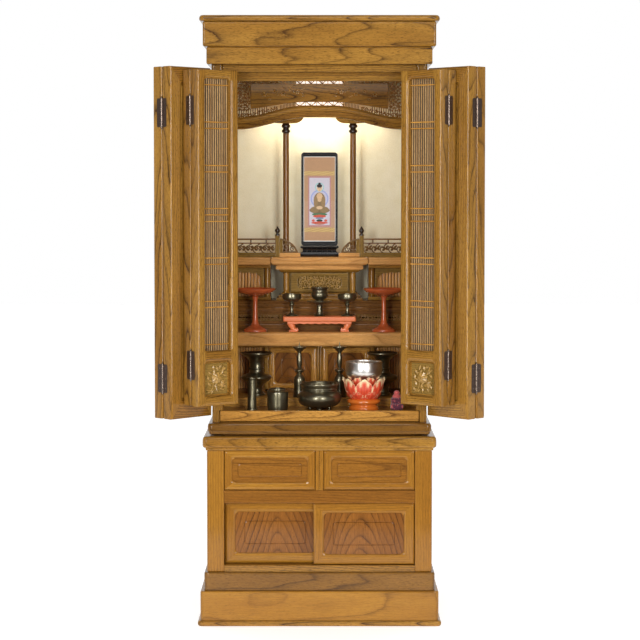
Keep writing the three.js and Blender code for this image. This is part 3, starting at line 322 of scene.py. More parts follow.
def side_tags(where, seg=SEG):
    """'a' for the faces along the first direction of a rounded rectangle, 'b' for the others, 'c' for its ends."""
    tags = []
    for j in where:
        if j < 0:
            tags.append("c")
            continue
        corner, i = divmod(j, seg + 1)
        side = corner if i == seg or i >= seg / 2 else (corner - 1) % 4
        tags.append("a" if side in (1, 3) else "b")
    return tags


def loft(levels, plane="xy", seg=SEG):
    """Rounded rectangles (a0, a1, b0, b1, front radius, back radius, c) joined in turn."""
    rings = []
    for *sides, c in levels:
        rings.append([(a, b, c) if plane == "xy" else (a, c, b) for a, b in rrect(*sides, seg)])
    verts, faces, where = bridge(rings)
    return verts, faces, side_tags(where, seg)


def rounded(a0, a1, b0, b1, c0, c1, r=2.0, corner=None, seg=2, plane="xy"):
    """A block with rounded edges."""
    corner = r if corner is None else corner
    edge = quarter(r, r, seg)
    steps = [(d, c0 + h) for d, h in edge] + [(d, c1 - h) for d, h in reversed(edge)]
    levels = [(a0 + d, a1 - d, b0 + d, b1 - d, *[max(corner - d, 0.1)] * 2, c) for d, c in steps]
    return loft(levels, plane, max(seg, 2))


def course(half, y0, y1, profile, corner=12.0, seg=6):
    """Moulded board: (inset, z) steps round its front and sides, with a flush back."""
    return loft([(-half + d, half - d, y0 + d, y1, max(corner - d, 0.6), 0.3, z) for d, z in profile], "xy", seg)


def curve_through(points, steps=4):
    """A smooth line through points. A point given twice stays a corner."""
    out = []
    n = len(points)
    for i in range(n - 1):
        p1, p2 = points[i], points[i + 1]
        if p1 == p2:
            continue
        p0 = points[i - 1] if i and points[i - 1] != p1 else p1
        p3 = points[i + 2] if i + 2 < n and points[i + 2] != p2 else p2
        for k in range(steps):
            t = k / steps
            out.append(tuple(
                0.5 * (2 * b + (c - a) * t + (2 * a - 5 * b + 4 * c - d) * t * t + (3 * b - a - 3 * c + d) * t ** 3)
                for a, b, c, d in zip(p0, p1, p2, p3)))
    out.append(points[-1])
    return out


def lathe(profile, x, y, z, seg=40, smooth=4):
    """A turned piece from (radius, height) points that start and end on the axis."""
    rings, verts, faces = [], [], []
    for r, h in curve_through(profile, smooth) if smooth > 1 else profile:
        if r < 0.02:
            rings.append([len(verts)])
            verts.append((x, y, z + h))
        else:
            rings.append(list(range(len(verts), len(verts) + seg)))
            verts += [(x + r * math.cos(a), y + r * math.sin(a), z + h) for a in around(seg)]
    for a, b in zip(rings, rings[1:]):
        for k in range(seg if len(a) + len(b) > 2 else 0):
            n = (k + 1) % seg
            if len(a) == 1:
                faces.append((a[0], b[k], b[n]))
            elif len(b) == 1:
                faces.append((a[k], b[0], a[n]))
            else:
                faces.append((a[k], b[k], b[n], a[n]))
    return verts, faces, None


def tube(path, radii, sides=7, flat=1.0):
    """A round bar along a path, with its own radius at each point."""
    path = [Vector(p) for p in path]
    radii = radii if hasattr(radii, "__len__") else [radii] * len(path)
    rings = []
    for i, p in enumerate(path):
        d = (path[min(i + 1, len(path) - 1)] - path[max(i - 1, 0)]).normalized()
        side = d.cross(Vector((0, 1, 0)))
        side = side.normalized() if side.length > 1e-4 else Vector((1, 0, 0))
        other = side.cross(d).normalized() * flat
        rings.append([tuple(p + (side * math.cos(a) + other * math.sin(a)) * radii[i]) for a in around(sides)])
    return skin(rings)


def leaf(x, z, y, angle, length, width, rise=2.0, lobes=0):
    """A carved leaf lying in the XZ plane with a raised rib, seen from the front."""
    n = 6
    left, right, rib = [], [], []
    ca, sa = math.cos(angle), math.sin(angle)

    def at(u, v, h):
        return (x + u * ca - v * sa, y - h, z + u * sa + v * ca)
    for k in range(n + 1):
        t = k / n
        w = width * math.sin(math.pi * min(1, t * 0.92 + 0.08)) ** 0.8 * 0.5
        if lobes:
            w *= 0.78 + 0.22 * math.cos(2 * math.pi * lobes * t)
        bend = 0.18 * length * t * t
        left.append(at(length * t, w + bend, 0))
        right.append(at(length * t, -w + bend, 0))
        rib.append(at(length * t, bend, rise * math.sin(math.pi * t) * 0.8 + 0.35 * rise))
    m = n + 1
    faces = []
    for k in range(n):
        faces.append((k, k + 1, 2 * m + k + 1, 2 * m + k))
        faces.append((2 * m + k, 2 * m + k + 1, m + k + 1, m + k))
        faces.append((k + 1, k, m + k, m + k + 1))
    return left + right + rib, faces + [(0, 2 * m, m), (n, m + n, 2 * m + n)], None


def spiral(x, z, y, r, turns, start, hand, thick):
    """A carved scroll that tapers towards its eye."""
    n = max(8, int(12 * turns))
    path, radii = [], []
    for k in range(n + 1):
        t = k / n
        a = start + hand * 2 * math.pi * turns * t
        q = r * (1 - 0.82 * t)
        path.append((x + q * math.cos(a), y, z + q * math.sin(a)))
        radii.append(thick * (1 - 0.45 * t))
    return tube(path, radii, 6)


def edge_normals(points):
    """For each point of an outline, the inward normals of the two edges that meet there."""
    n = len(points)
    area = sum(points[i - 1][0] * points[i][1] - points[i][0] * points[i - 1][1] for i in range(n))
    sign = 1 if area > 0 else -1
    for i in range(n):
        p, a, b = Vector(points[i]), Vector(points[i - 1]), Vector(points[(i + 1) % n])
        e1, e2 = (p - a).normalized(), (b - p).normalized()
        yield p, Vector((-e1.y, e1.x)) * sign, Vector((-e2.y, e2.x)) * sign


def plate(points, y0, y1, bevel=0.5):
    """A board cut to an outline in X and Z, with its edges eased."""
    inner = [p + (n1 + n2).normalized() * bevel for p, n1, n2 in edge_normals(points)]
    levels = (inner, y0), (points, y0 + bevel), (points, y1 - bevel), (inner, y1)
    return skin([[(a, y, b) for a, b in ring] for ring, y in levels])


def unpacked(bm):
    """A bmesh as a shape."""
    bm.verts.index_update()
    shape = [tuple(v.co) for v in bm.verts], [tuple(v.index for v in f.verts) for f in bm.faces], None
    bm.free()
    return shape


def pierced(outlines, y0, y1, bevel=0.6, resolution=1):
    """A board in X and Z with holes in it, its edges rounded. The first outline is the outer one."""
    cu = bpy.data.curves.new("outline", "CURVE")
    cu.dimensions = "2D"
    cu.fill_mode = "BOTH"
    for pts in outlines:
        s = cu.splines.new("POLY")
        s.points.add(len(pts) - 1)
        for p, (a, b) in zip(s.points, pts):
            p.co = (a, b, 0, 1)
        s.use_cyclic_u = True
    cu.bevel_depth = bevel
    cu.offset = -bevel
    cu.bevel_resolution = resolution
    cu.extrude = (y1 - y0) / 2 - bevel
    ob = bpy.data.objects.new("outline", cu)
    bpy.context.scene.collection.objects.link(ob)
    bpy.context.view_layer.update()
    me = bpy.data.meshes.new_from_object(ob.evaluated_get(bpy.context.evaluated_depsgraph_get()))
    bm = bmesh.new()
    bm.from_mesh(me)
    bmesh.ops.remove_doubles(bm, verts=bm.verts, dist=0.02)
    bmesh.ops.recalc_face_normals(bm, faces=bm.faces)
    bpy.data.objects.remove(ob)
    bpy.data.curves.remove(cu)
    bpy.data.meshes.remove(me)
    verts, faces, _ = unpacked(bm)
    return [(a, (y0 + y1) / 2 - c, b) for a, b, c in verts], faces, None


def moulded(outlines, y0, y1, rounds):
    """A board in X and Z with holes. Each outline's edges are rounded by its own (width, depth, steps)."""
    verts, faces, edges, flat = [], [], [], []
    for k, pts in enumerate(outlines):
        curve = quarter(*rounds[min(k, len(rounds) - 1)])
        n, start, base = len(pts), len(flat), len(verts)
        way = 1 if k == 0 else -1
        corners = [(p, (n1 + n2) / max(0.35, 1 + n1.dot(n2))) for p, n1, n2 in edge_normals(pts)]
        rings = [([p + out * way * d for p, out in corners], h) for d, h in curve]
        levels = [(ring, y0 + h) for ring, h in rings] + [(ring, y1 - h) for ring, h in rings[::-1]]
        flat += levels[0][0]
        edges += [(start + i, start + (i + 1) % n) for i in range(n)]
        for ring, y in levels:
            verts += [(q.x, y, q.y) for q in ring]
        for lo in range(base, base + (len(levels) - 1) * n, n):
            faces += [(lo + i, lo + (i + 1) % n, lo + n + (i + 1) % n, lo + n + i) for i in range(n)]
    co, _, tris, _, _, _ = geometry.delaunay_2d_cdt(flat, edges, [], 0, 1e-6)

    def inside(q):
        odd = False
        for i, j in edges:
            a, b = flat[i], flat[j]
            if (a.y > q.y) != (b.y > q.y) and q.x < (b.x - a.x) * (q.y - a.y) / (b.y - a.y) + a.x:
                odd = not odd
        return odd
    tris = [t for t in tris if inside((co[t[0]] + co[t[1]] + co[t[2]]) / 3)]
    for y in (y0, y1):
        base = len(verts)
        verts += [(q.x, y, q.y) for q in co]
        faces += [tuple(base + i for i in t) for t in tris]
    bm = bmesh.new()
    vs = [bm.verts.new(v) for v in verts]
    for f in faces:
        bm.faces.new([vs[i] for i in f])
    bmesh.ops.remove_doubles(bm, verts=bm.verts, dist=0.005)
    bmesh.ops.recalc_face_normals(bm, faces=bm.faces)
    return unpacked(bm)


def split(shape, xs):
    """The same shape, cut along planes of X so that its boards can have their own grain."""
    bm = bmesh.new()
    vs = [bm.verts.new(v) for v in shape[0]]
    for f in shape[1]:
        bm.faces.new([vs[i] for i in f])
    for x in xs:
        bmesh.ops.bisect_plane(bm, geom=bm.verts[:] + bm.edges[:] + bm.faces[:], dist=0.001,
                               plane_co=(x, 0, 0), plane_no=(1, 0, 0))
    return unpacked(bm)


class Piece:
    """Collects shapes into one mesh. Each shape keeps its material, and its grain runs its own way."""

    def __init__(self, name):
        self.name, self.verts, self.faces, self.slots, self.mats = name, [], [], [], []
        self.gco, self.tint = [], []

    def add(self, shape, mat, grain="x", figured=False, xf=None, tint=None):
        """Adds a shape. Grain is an axis, or one for each tag. Figured names the tags cut across the rings."""
        verts, faces, tags = shape
        pts = np.array(verts, float)
        if mat not in self.mats:
            self.mats.append(mat)
        slot = self.mats.index(mat)
        centre = (pts.max(0) + pts.min(0)) / 2
        looks, runs = {}, {}
        for key in sorted(set(tags)) if tags else ["all"]:
            axis = grain.get(key, "x") if isinstance(grain, dict) else grain
            bold = figured is True or (isinstance(figured, str) and key in figured)
            if (axis, bold) not in runs:
                if bold:
                    off = (rng.uniform(-2000, 2000), rng.uniform(-12, 12), rng.choice((-1, 1)) * rng.uniform(26, 48))
                else:
                    off = (rng.uniform(-2000, 2000), rng.choice((-1, 1)) * rng.uniform(150, 300), rng.uniform(20, 80))
                runs[axis, bold] = off
            order = {"x": (0, 2, 1), "y": (1, 2, 0), "z": (2, 0, 1)}[axis]
            looks[key] = ((pts - centre)[:, order] + np.array(runs[axis, bold])) * MM
        world = pts if xf is None else (np.c_[pts, np.ones(len(pts))] @ np.array(xf).T)[:, :3]
        volume = sum(float(np.dot(world[f[0]], np.cross(world[f[k]], world[f[k + 1]])))
                     for f in faces for k in range(1, len(f) - 1))
        base = len(self.verts)
        self.verts += [tuple(v) for v in world]
        for i, f in enumerate(faces):
            f = tuple(reversed(f)) if volume < 0 else tuple(f)
            self.faces.append(tuple(base + k for k in f))
            self.slots.append(slot)
            look = looks[tags[i] if tags else "all"]
            self.gco += [look[k] for k in f]
            self.tint += [tint(world[k]) if tint else (1, 1, 1) for k in f]
        return self

    def board(self, x0, x1, y0, y1, z0, z1, grain="x", mat="wood", r=1.5, figured=False, seg=2, xf=None):
        """Adds a board with rounded edges."""
        return self.add(rounded(x0, x1, y0, y1, z0, z1, r, seg=seg), mat, grain, figured, xf)

    def build(self, body, *nodes, slot="wood"):
        """Makes the object, on its body and in place of the named nodes of the solids."""
        me = bpy.data.meshes.new(self.name)
        me.from_pydata([(x * MM, y * MM, z * MM) for x, y, z in self.verts], [], self.faces)
        for mat in self.mats:
            me.materials.append(M[mat])
        me.polygons.foreach_set("material_index", self.slots)
        at = me.attributes.new("gco", "FLOAT_VECTOR", "CORNER")
        at.data.foreach_set("vector", np.array(self.gco, np.float32).ravel())
        if {"scroll", "petal"} & set(self.mats):
            at = me.attributes.new("tint", "FLOAT_COLOR", "CORNER")
            rgba = np.c_[np.array(self.tint, np.float32), np.ones(len(self.tint), np.float32)]
            at.data.foreach_set("color", rgba.ravel())
        me.polygons.foreach_set("use_smooth", [True] * len(me.polygons))
        me.set_sharp_from_angle(angle=math.radians(38))
        me.update()
        ob = bpy.data.objects.new(self.name, me)
        bpy.context.scene.collection.objects.link(ob)
        mod = ob.modifiers.new("normals", "WEIGHTED_NORMAL")
        mod.keep_sharp = True
        with bpy.context.temp_override(object=ob, active_object=ob, selected_objects=[ob]):
            bpy.ops.object.modifier_apply(modifier=mod.name)
        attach(ob, body)
        if nodes:
            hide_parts(*nodes)
        return ob


XY = {"a": "x", "b": "y", "c": "x"}
XZ = {"a": "x", "b": "z", "c": "x"}
XZV = {"a": "x", "b": "z", "c": "z"}


# ---------------------------------------------------------------- foot and lower cabinet
def foot():
    p = Piece("plinth_moulded")
    p.add(course(327.5, -280, 280, [(4.5, 0), (1.6, 1.6), (0.3, 4.2), (0, 7.5), (0.4, 10.8), (1.8, 13.4), (4.8, 15),
                                    (6.6, 15.2)]), "wood", XY, "ab")
    p.add(course(320.5, -273, 273, [(0.6, 15), (0, 16), (0, 90), (0.6, 92.2), (1.8, 93.4), (3.8, PLINTH_TOP)]),
          "wood_calm", XY, "ab")
    p.build("root", "plinth")
    riser = [(1.0, PLINTH_TOP), (0, 95), (0, 138), (0.6, 141), (2, 142.5), (4, RISER_TOP)]
    Piece("riser_moulded").add(course(310.5, -263, BACK, riser), "wood_deep", XY, "ab").build("root", "plinth_riser")


def lower_cabinet():
    p = Piece("lower_carcass")
    for s in SIDES:
        p.board(*ends(s, LOWER_HALF, BAY_HALF), LOWER_FRONT, POST_BACK, RISER_TOP, LOWER_TOP, "z", "wood_calm", 3.5,
                seg=3)
        p.board(*ends(s, LOWER_HALF, LOWER_IN), POST_BACK, BACK, RISER_TOP, LOWER_TOP, "z", r=0.5, figured=True)
        p.board(*ends(s, LOWER_IN, BAY_HALF), POST_BACK, BACK_IN, BAY_0 - 12, LOWER_TOP, "y", r=0.3)
    p.board(-BAY_HALF, BAY_HALF, LOWER_FRONT + 1, POST_BACK, RISER_TOP, SLIDE_0, r=1.2)
    p.board(-LOWER_IN, LOWER_IN, POST_BACK, BACK_IN, RISER_TOP, SLIDE_0, r=0.3)
    p.board(-BAY_HALF, BAY_HALF, LOWER_FRONT + 1, POST_BACK, SLIDE_1, BAY_0, mat="wood_drawer", r=1.6)
    p.board(-LOWER_IN, LOWER_IN, POST_BACK, BACK_IN, BAY_0 - 12, BAY_0, r=0.3)
    p.board(-LOWER_IN, LOWER_IN, BACK_IN, BACK, RISER_TOP, LOWER_TOP, r=0.3)
    for x0, x1 in ((-10.75, -1.2), (1.2, 10.75)):
        p.board(x0, x1, LOWER_FRONT, -235, BAY_0, LOWER_TOP, "z", "wood_calm", 2.2, seg=3)
    p.board(-9.5, 9.5, LOWER_FRONT + 3, BACK_IN, BAY_0, LOWER_TOP, "y", r=0.3)
    p.build("root", "lower_cabinet")
    top = [(10, LOWER_TOP), (8.5, 473.5), (8, 476), (8, 479), (4, 480), (1.2, 482.2), (0, 486), (0, 499),
           (1.0, 504.5), (3.6, 508.6), (7.5, 510.5)]
    Piece("lower_top_moulded").add(course(314, -266, 270.7, top), "wood", XY, "ab").build("root", "lower_cabinet_top")


def framed(piece, x0, x1, z0, z1, y0, y1, fx, fz, field, mat, panel_mat, grain="x", depth=5.0):
    """A framed front: a rounded frame fx and fz wide, and a panel in it with a groove round its raised field."""
    lip = 4.0

    def lv(dx, dz, r, y):
        return (x0 + dx, x1 - dx, z0 + dz, z1 - dz, r, r, y)
    outer = [(0, y1), (0, y0 + 3.6), (0.5, y0 + 2.2), (1.8, y0 + 1.1), (4.5, y0 + 0.3), (8, y0)]
    inner = [(-lip * 1.6, 8, 0), (-lip * 0.9, 9, 0.4), (-lip * 0.35, 11, 1.4), (0, 11.5, 3.2), (0.3, 11.5, depth + 2)]
    groove = [(-field - 2, 6, 5), (-field - 2, 6, 0), (0, 7, 0), (0.5, 7, 1.7), (1.7, 6.4, 1.7), (2.4, 6, -0.2),
              (4.2, 5, -1.0)]
    frame_levels = [lv(d, d, 0.8, y) for d, y in outer] + [lv(fx + d, fz + d, r, y0 + h) for d, r, h in inner]
    piece.add(loft(frame_levels, "xz", 5), mat, XZ)
    fx, fz = fx + field, fz + field
    piece.add(loft([lv(fx + d, fz + d, r, y0 + depth + h) for d, r, h in groove], "xz", 5), panel_mat,
              dict.fromkeys("abc", grain), "abc")


def drawer(side):
    tag = SIDES[side]
    x0, x1 = ends(side, 11.75, 255.5)
    p = Piece(f"drawer_front_{tag}")
    framed(p, x0, x1, 365, 471, -253, -233, 21, 19.5, 14, "wood_calm", "wood_drawer")
    b0, b1, z0, z1, front, back, thick = x0 + 3, x1 - 3, 366, 463, -234, 177, 12
    p.board(b0, b0 + thick, front, back, z0, z1, "y", "wood_pale", 0.8)
    p.board(b1 - thick, b1, front, back, z0, z1, "y", "wood_pale", 0.8)
    p.board(b0 + thick, b1 - thick, back - thick, back, z0, z1, "x", "wood_pale", 0.8)
    p.board(b0 + thick, b1 - thick, front, back - thick, z0 + 1, z0 + 8, "x", "wood_pale", 0.3)
    p.build(f"drawer_{tag}", f"drawer_{tag}")


def sliding_door(side):
    tag = SIDES[side]
    y0 = -227 if side < 0 else -247
    p = Piece(f"sliding_leaf_{tag}")
    framed(p, *ends(side, -16, 255.5), 162, 328, y0, y0 + 18, 28, 27, 24, "wood_calm", "wood_arch", "z")
    p.build(f"sliding_door_{tag}", f"sliding_door_{tag}", slot="wood_panel")


# ---------------------------------------------------------------- upper cabinet
def upper_cabinet():
    p = Piece("upper_case")
    for s in SIDES:
        p.add(rounded(*ends(s, CASE_HALF, OPEN_HALF), CASE_FRONT, JAMB_BACK, BOARD_TOP, CASE_TOP, 0.5, 7, 4), "wood",
              "z")
        p.board(*ends(s, CASE_HALF, OPEN_HALF), -203, JAMB_BACK, SILL_TOP, BOARD_TOP + 1, "z", r=0.3)
        p.add(rounded(*ends(s, CASE_HALF, OPEN_HALF + 10), CASE_FRONT, JAMB_BACK, SILL_TOP, BOARD_TOP + 1, 0.5, 5, 4),
              "wood", "z")
        p.board(*ends(s, CASE_HALF, WALL_IN), JAMB_BACK, BACK, SILL_TOP, CASE_TOP, "z", r=0.6, figured=True)
    p.board(-WALL_IN, WALL_IN, BACK_IN, BACK, SILL_TOP, CASE_TOP, "z", r=0.3, figured=True)
    p.board(-WALL_IN, WALL_IN, JAMB_BACK, BACK_IN, CEILING, CASE_TOP, r=0.3)
    p.board(-OPEN_HALF, OPEN_HALF, CASE_FRONT, JAMB_BACK, 1487, CASE_TOP)
    p.board(-WALL_IN, WALL_IN, JAMB_BACK, BACK_IN, FLOOR_TOP - 9, FLOOR_TOP, "x", "wood_dark", 0.3)
    p.board(-OPEN_HALF, OPEN_HALF, -203, JAMB_BACK, FLOOR_TOP - 9, FLOOR_TOP, "x", "wood_dark", 0.3)
    for n, z in enumerate((1479, 1472, 1465)):
        p.board(-WALL_IN, WALL_IN, -182 + 5 * n, -170 + 5 * n, z, CEILING, r=2.0, seg=3)
    p.build("root", "upper_cabinet")

    sill = [(7, 515), (5, 515.6), (3.4, 517.4), (2.8, 520), (2.8, 522), (0.8, 523), (0, 525.5), (0, 537), (0.9, 541),
            (3, 544), (6.5, SILL_TOP)]
    # The sill's darker colour is partly painted shade.
    q = Piece("sill_moulded").add(course(300.5, -258, BACK, sill), "wood_deep", XY, "ab")
    q.board(-256, 256, -228, BACK - 30, SILL_BOTTOM, 518, "x", "wood_dark", 0.5)
    q.build("root", "upper_sill")

    c = Piece("crown_moulded")
    frieze = [(22.5, CASE_TOP), (20, 1506), (19, 1508.5), (19, 1546), (20, 1549), (22, 1551)]
    fascia = [(15, 1551), (11.5, 1552), (9.8, 1554.6), (9.5, 1557), (9.5, 1611), (9.9, 1614.5), (11.5, 1617),
              (15, 1618)]
    top = [(6, 1618), (2.6, 1618.8), (0.7, 1621), (0, 1624.4), (0.5, 1628), (2.2, 1631.4), (5, 1633.4), (9, 1634)]
    for profile in (frieze, fascia, top):
        c.add(course(319.5, -277, BACK, profile, 15), "wood", XY, "ab")
    c.build("root", "crown")

    t = Piece("pull_board")
    t.add(rounded(-268, 268, -221.5, -204, 546, 575, 3.0, 1.0, 4), "wood_light", "x", True)
    t.board(-254, 254, -208, 78, 547, 557, "x", "wood_fine", 0.6)
    t.build("pull_out_board", "pull_out_board")


# ---------------------------------------------------------------- doors
def door_frames(side):
    """Where each leaf of one side's doors is drawn, closed and from its pin, in the photo's open position."""
    away = -side

    def turn(deg):
        return Matrix.Rotation(side * math.radians(deg), 4, "Z")
    mirror = Matrix.Diagonal((away, 1, 1, 1))
    outer = Matrix.Translation((side * CASE_HALF, CASE_FRONT, SILL_TOP + 17.5)) @ turn(134.5)
    outer_fold = outer @ Matrix.Translation((away * 144.5, -36.5, 0)) @ turn(180)
    inner = Matrix.Translation((side * 258.5, -221.5, SILL_TOP + 55)) @ turn(143.5)
    inner_fold = inner @ Matrix.Translation((away * 129, 37, 0)) @ turn(-180)
    return [m @ mirror for m in (outer, outer_fold, inner, inner_fold)]


def outer_leaf(p, xf, x0, x1, y0, y1, _):
    """A leaf with rounded edges and a sunk panel on both faces, as one surface from face to face."""
    h, stile, foot_rail, head_rail = 934, 34, 46, 42
    recess = ((-2.5, 0, 9), (-0.8, 0.5, 9), (0, 2, 9), (0.3, 5, 9), (5, 5, 8), (6, 6, 8), (7.5, 6, 7), (8.5, 4.4, 7))
    rim = quarter(5.5, 5.5, 4)

    def edge(d, y):
        return (x0 + d, x1 - d, d, h - d, 1.0, 1.0, y)

    def inset(d, y, r):
        return (x0 + stile + d, x1 - stile - d, foot_rail + d, h - head_rail - d, r, r, y)
    levels = [inset(d, y0 + up, r) for d, up, r in reversed(recess)] + [edge(d, y0 + up) for d, up in rim] \
        + [edge(d, y1 - up) for d, up in reversed(rim)] + [inset(d, y1 - up, r) for d, up, r in recess]
    p.add(loft(levels, "xz", 5), "wood", XZV, "c", xf)


def carving(piece, x0, x1, z0, z1, y, mat, pitch=11.0, size=1.0, thick=1.5, leaves=3):
    """Scrolled foliage that fills an area and leaves small gaps."""
    nx = max(1, round((x1 - x0) / pitch))
    nz = max(1, round((z1 - z0) / pitch))
    for i in range(nx):
        for j in range(nz):
            x = x0 + (i + 0.5) * (x1 - x0) / nx + rng.uniform(-0.12, 0.12) * pitch
            z = z0 + (j + 0.5) * (z1 - z0) / nz + rng.uniform(-0.12, 0.12) * pitch
            a = rng.uniform(0, 2 * math.pi)
            hand = rng.choice((-1, 1))
            r = pitch * 0.5 * size
            piece.add(spiral(x, z, y + rng.uniform(-0.6, 0.6), r, 1.1, a, hand, thick), mat)
            for k in range(leaves):
                b = a + 2 * math.pi * (k + rng.uniform(-0.2, 0.2)) / leaves
                lx, lz = x + r * 0.45 * math.cos(b), z + r * 0.45 * math.sin(b)
                reach = min(r * 1.15, max(2.0, abs(x0 - 1 - lx) if math.cos(b) < -0.7 else 99))
                piece.add(leaf(lx, lz, y + rng.uniform(-0.5, 0.8), b, reach, r * 0.8, thick * 1.1, 2), mat)


def blossom(piece, x, z, y, r, mat, xf):
    """A full carved flower of three rings of petals."""
    for ring, (n, length, width) in enumerate(((7, r, 0.8 * r), (6, 0.74 * r, 0.66 * r), (5, 0.46 * r, 0.46 * r))):
        for k in range(n):
            a = 2 * math.pi * (k + 0.5 * ring) / n + rng.uniform(-0.12, 0.12)
            piece.add(leaf(x, z, y - 1.3 * ring, a, length, width, 2.0), mat, xf=xf)
    piece.add(lathe([(0, 0), (r * 0.16, 0.4), (r * 0.12, 1.6), (0, 2)], 0, 0, 0, 8, 2), mat,
              xf=xf @ Matrix.Translation((x, y - 4.0, z)) @ Matrix.Rotation(math.pi / 2, 4, "X"))


def plaque(piece, x0, x1, z0, z1, y, xf, hand):
    """Openwork of a flowering branch, its leaves curled over one another."""
    w, h = x1 - x0, z1 - z0

    def at(u, v):
        return ((x0 + w * u) if hand > 0 else (x1 - w * u), z0 + h * v)
    stem = [at(*q) for q in ((0.1, 0.04), (0.3, 0.16), (0.36, 0.36), (0.5, 0.5), (0.7, 0.66), (0.86, 0.94))]
    piece.add(tube([(a, y, b) for a, b in curve_through(stem)], 1.7, 6), "gilt", xf=xf)
    spots = ((0.08, 0.14, 2.6), (0.16, 0.34, 2.2), (0.12, 0.56, 1.9), (0.2, 0.74, 2.4), (0.36, 0.9, 1.4),
             (0.56, 0.88, 1.9), (0.7, 0.94, 0.6), (0.9, 0.84, 0.3), (0.92, 0.62, -0.5), (0.86, 0.42, -0.3),
             (0.92, 0.24, -0.9), (0.74, 0.14, -0.6), (0.52, 0.12, -1.4), (0.3, 0.08, -2.4), (0.64, 0.28, -0.2),
             (0.24, 0.46, 2.8), (0.8, 0.74, 0.9), (0.46, 0.26, -1.9), (0.4, 0.76, 1.2))
    for n, (u, v, a) in enumerate(spots):
        a = a if hand > 0 else math.pi - a
        x, z = at(u, v)
        x, z = x - 6 * math.cos(a), z - 6 * math.sin(a)
        piece.add(leaf(x, z, y - rng.uniform(0, 1.5), a, 14, 8.5, 2.6, 2), "gilt", xf=xf)
        if n % 3 == 0:
            piece.add(spiral(x, z, y - 0.5, 4.2, 1.0, a + 2, hand, 1.2), "gilt", xf=xf)
    blossom(piece, *at(0.5, 0.54), y - 1.5, 17, "gilt", xf)
    blossom(piece, *at(0.78, 0.3), y - 1.0, 9, "gilt", xf)


def inner_leaf(p, xf, x0, x1, y0, y1, side):
    """A lattice leaf: a moulded frame with gauze behind slats and bars above, and a carved plaque below."""
    h, stile, corner = 887, 24, 9
    a, b = x0 + stile, x1 - stile
    w_lo, w_hi, p_lo, p_hi = 146, 863, 26, 116
    bars = (846.6, 749.2, 732.5, 635.2, 618.2, 521.7, 505, 488, 391.2, 374.5, 276.6, 260.7, 162.3)
    holes = [rrect(a, b, lo, hi, corner, seg=5)[::-1] for lo, hi in ((w_lo, w_hi), (p_lo, p_hi))]
    verts, faces, _ = split(moulded([[(x0, 0.3), (x1, 0.3), (x1, h - 0.5), (x0, h - 0.5)], *holes], y0, y1,
                                    [(5.5, 5.5, 4), (10, 6.5, 5)]), (a, b))
    pts = np.array(verts)
    tags = ["a" if a <= pts[list(f)].mean(0)[0] <= b else "b" for f in faces]
    p.add((verts, faces, tags), "wood", XZ, xf=xf)
    y = (y0 + y1) / 2
    p.board(a - 3, b + 3, y - 1.2, y + 1.2, w_lo - 3, w_hi + 3, "z", "gauze", 0.3, xf=xf)
    p.board(a - 3, b + 3, y - 3, y + 3, p_lo - 3, p_hi + 3, "x", "wood", 0.3, True, xf=xf)
    count = 11
    for k in range(count):
        x = a + (k + 0.8) * (b - a) / (count + 0.6)
        p.board(x - 0.9, x + 0.9, y - 5.4, y - 2.2, w_lo - 3, w_hi + 3, "z", "slat", 0.4, seg=1, xf=xf)
    for z in bars:
        p.board(a - 2, b + 2, y - 6.4, y - 4.6, z - 1.6, z + 1.6, "x", "wood_light", 0.4, seg=1, xf=xf)
    for x, near, far in ((a, 1.5, 1.4), (b, 1.4, 1.5)):
        p.board(x - near, x + far, y - 7, y - 1, w_lo + 1, w_hi - 1, "z", "wood", 0.5, seg=1, xf=xf)
    p.board(a + 4, b - 4, y - 3.6, y - 2, p_lo + 4, p_hi - 4, "x", "wood_olive", 0.4, xf=xf)
    plaque(p, a + 8, b - 8, p_lo + 6, p_hi - 9, y - 5.2, xf, -side)


def hinge(p, xf, end_x, px, py, inward, z):
    """A butt hinge's plate on a leaf's end edge, with the knuckle where that edge is the leaf's far one."""
    half, pin_here = 38, end_x > 1
    lo, hi = sorted((py + inward * 0.4, py + inward * 19))
    x0, x1 = (end_x, end_x + 0.45) if pin_here else (end_x - 0.45, end_x)
    ring = rrect(lo, hi, z - half, z + half, 4.5)
    p.add(skin([[(x, a, b) for a, b in ring] for x in (x0, x1)]), "hinge", xf=xf)
    for k in (-26, 0, 26):
        cy = (lo + hi) / 2 + inward * 1.5
        disc = [[(x, cy + 1.7 * math.cos(t), z + k + 1.7 * math.sin(t)) for t in around(10)]
                for x in (x0 - 0.04, x1 + 0.04)]
        p.add(skin(disc), "hinge_pin", xf=xf)
    if not pin_here:
        return
    knuckles = []
    for k in range(5):
        a, b = k * 15.2 - half + 0.35, (k + 1) * 15.2 - half - 0.35
        knuckles += [q for q in ((2.5, a), (3.05, a + 0.5), (3.05, b - 0.5), (2.5, b)) for _ in (0, 1)]
    prof = [(0, -43), (1.4, -42.6), (2.3, -41), (2.0, -39.4), (2.0, -39.4), (2.5, -38.6), (2.5, -38.6)] + knuckles \
        + [(2.5, 38.6), (2.5, 38.6), (2.0, 39.4), (2.3, 41), (1.4, 42.6), (0, 43)]
    p.add(lathe(prof, px, py, z, 14, 1), "hinge_pin", xf=xf)


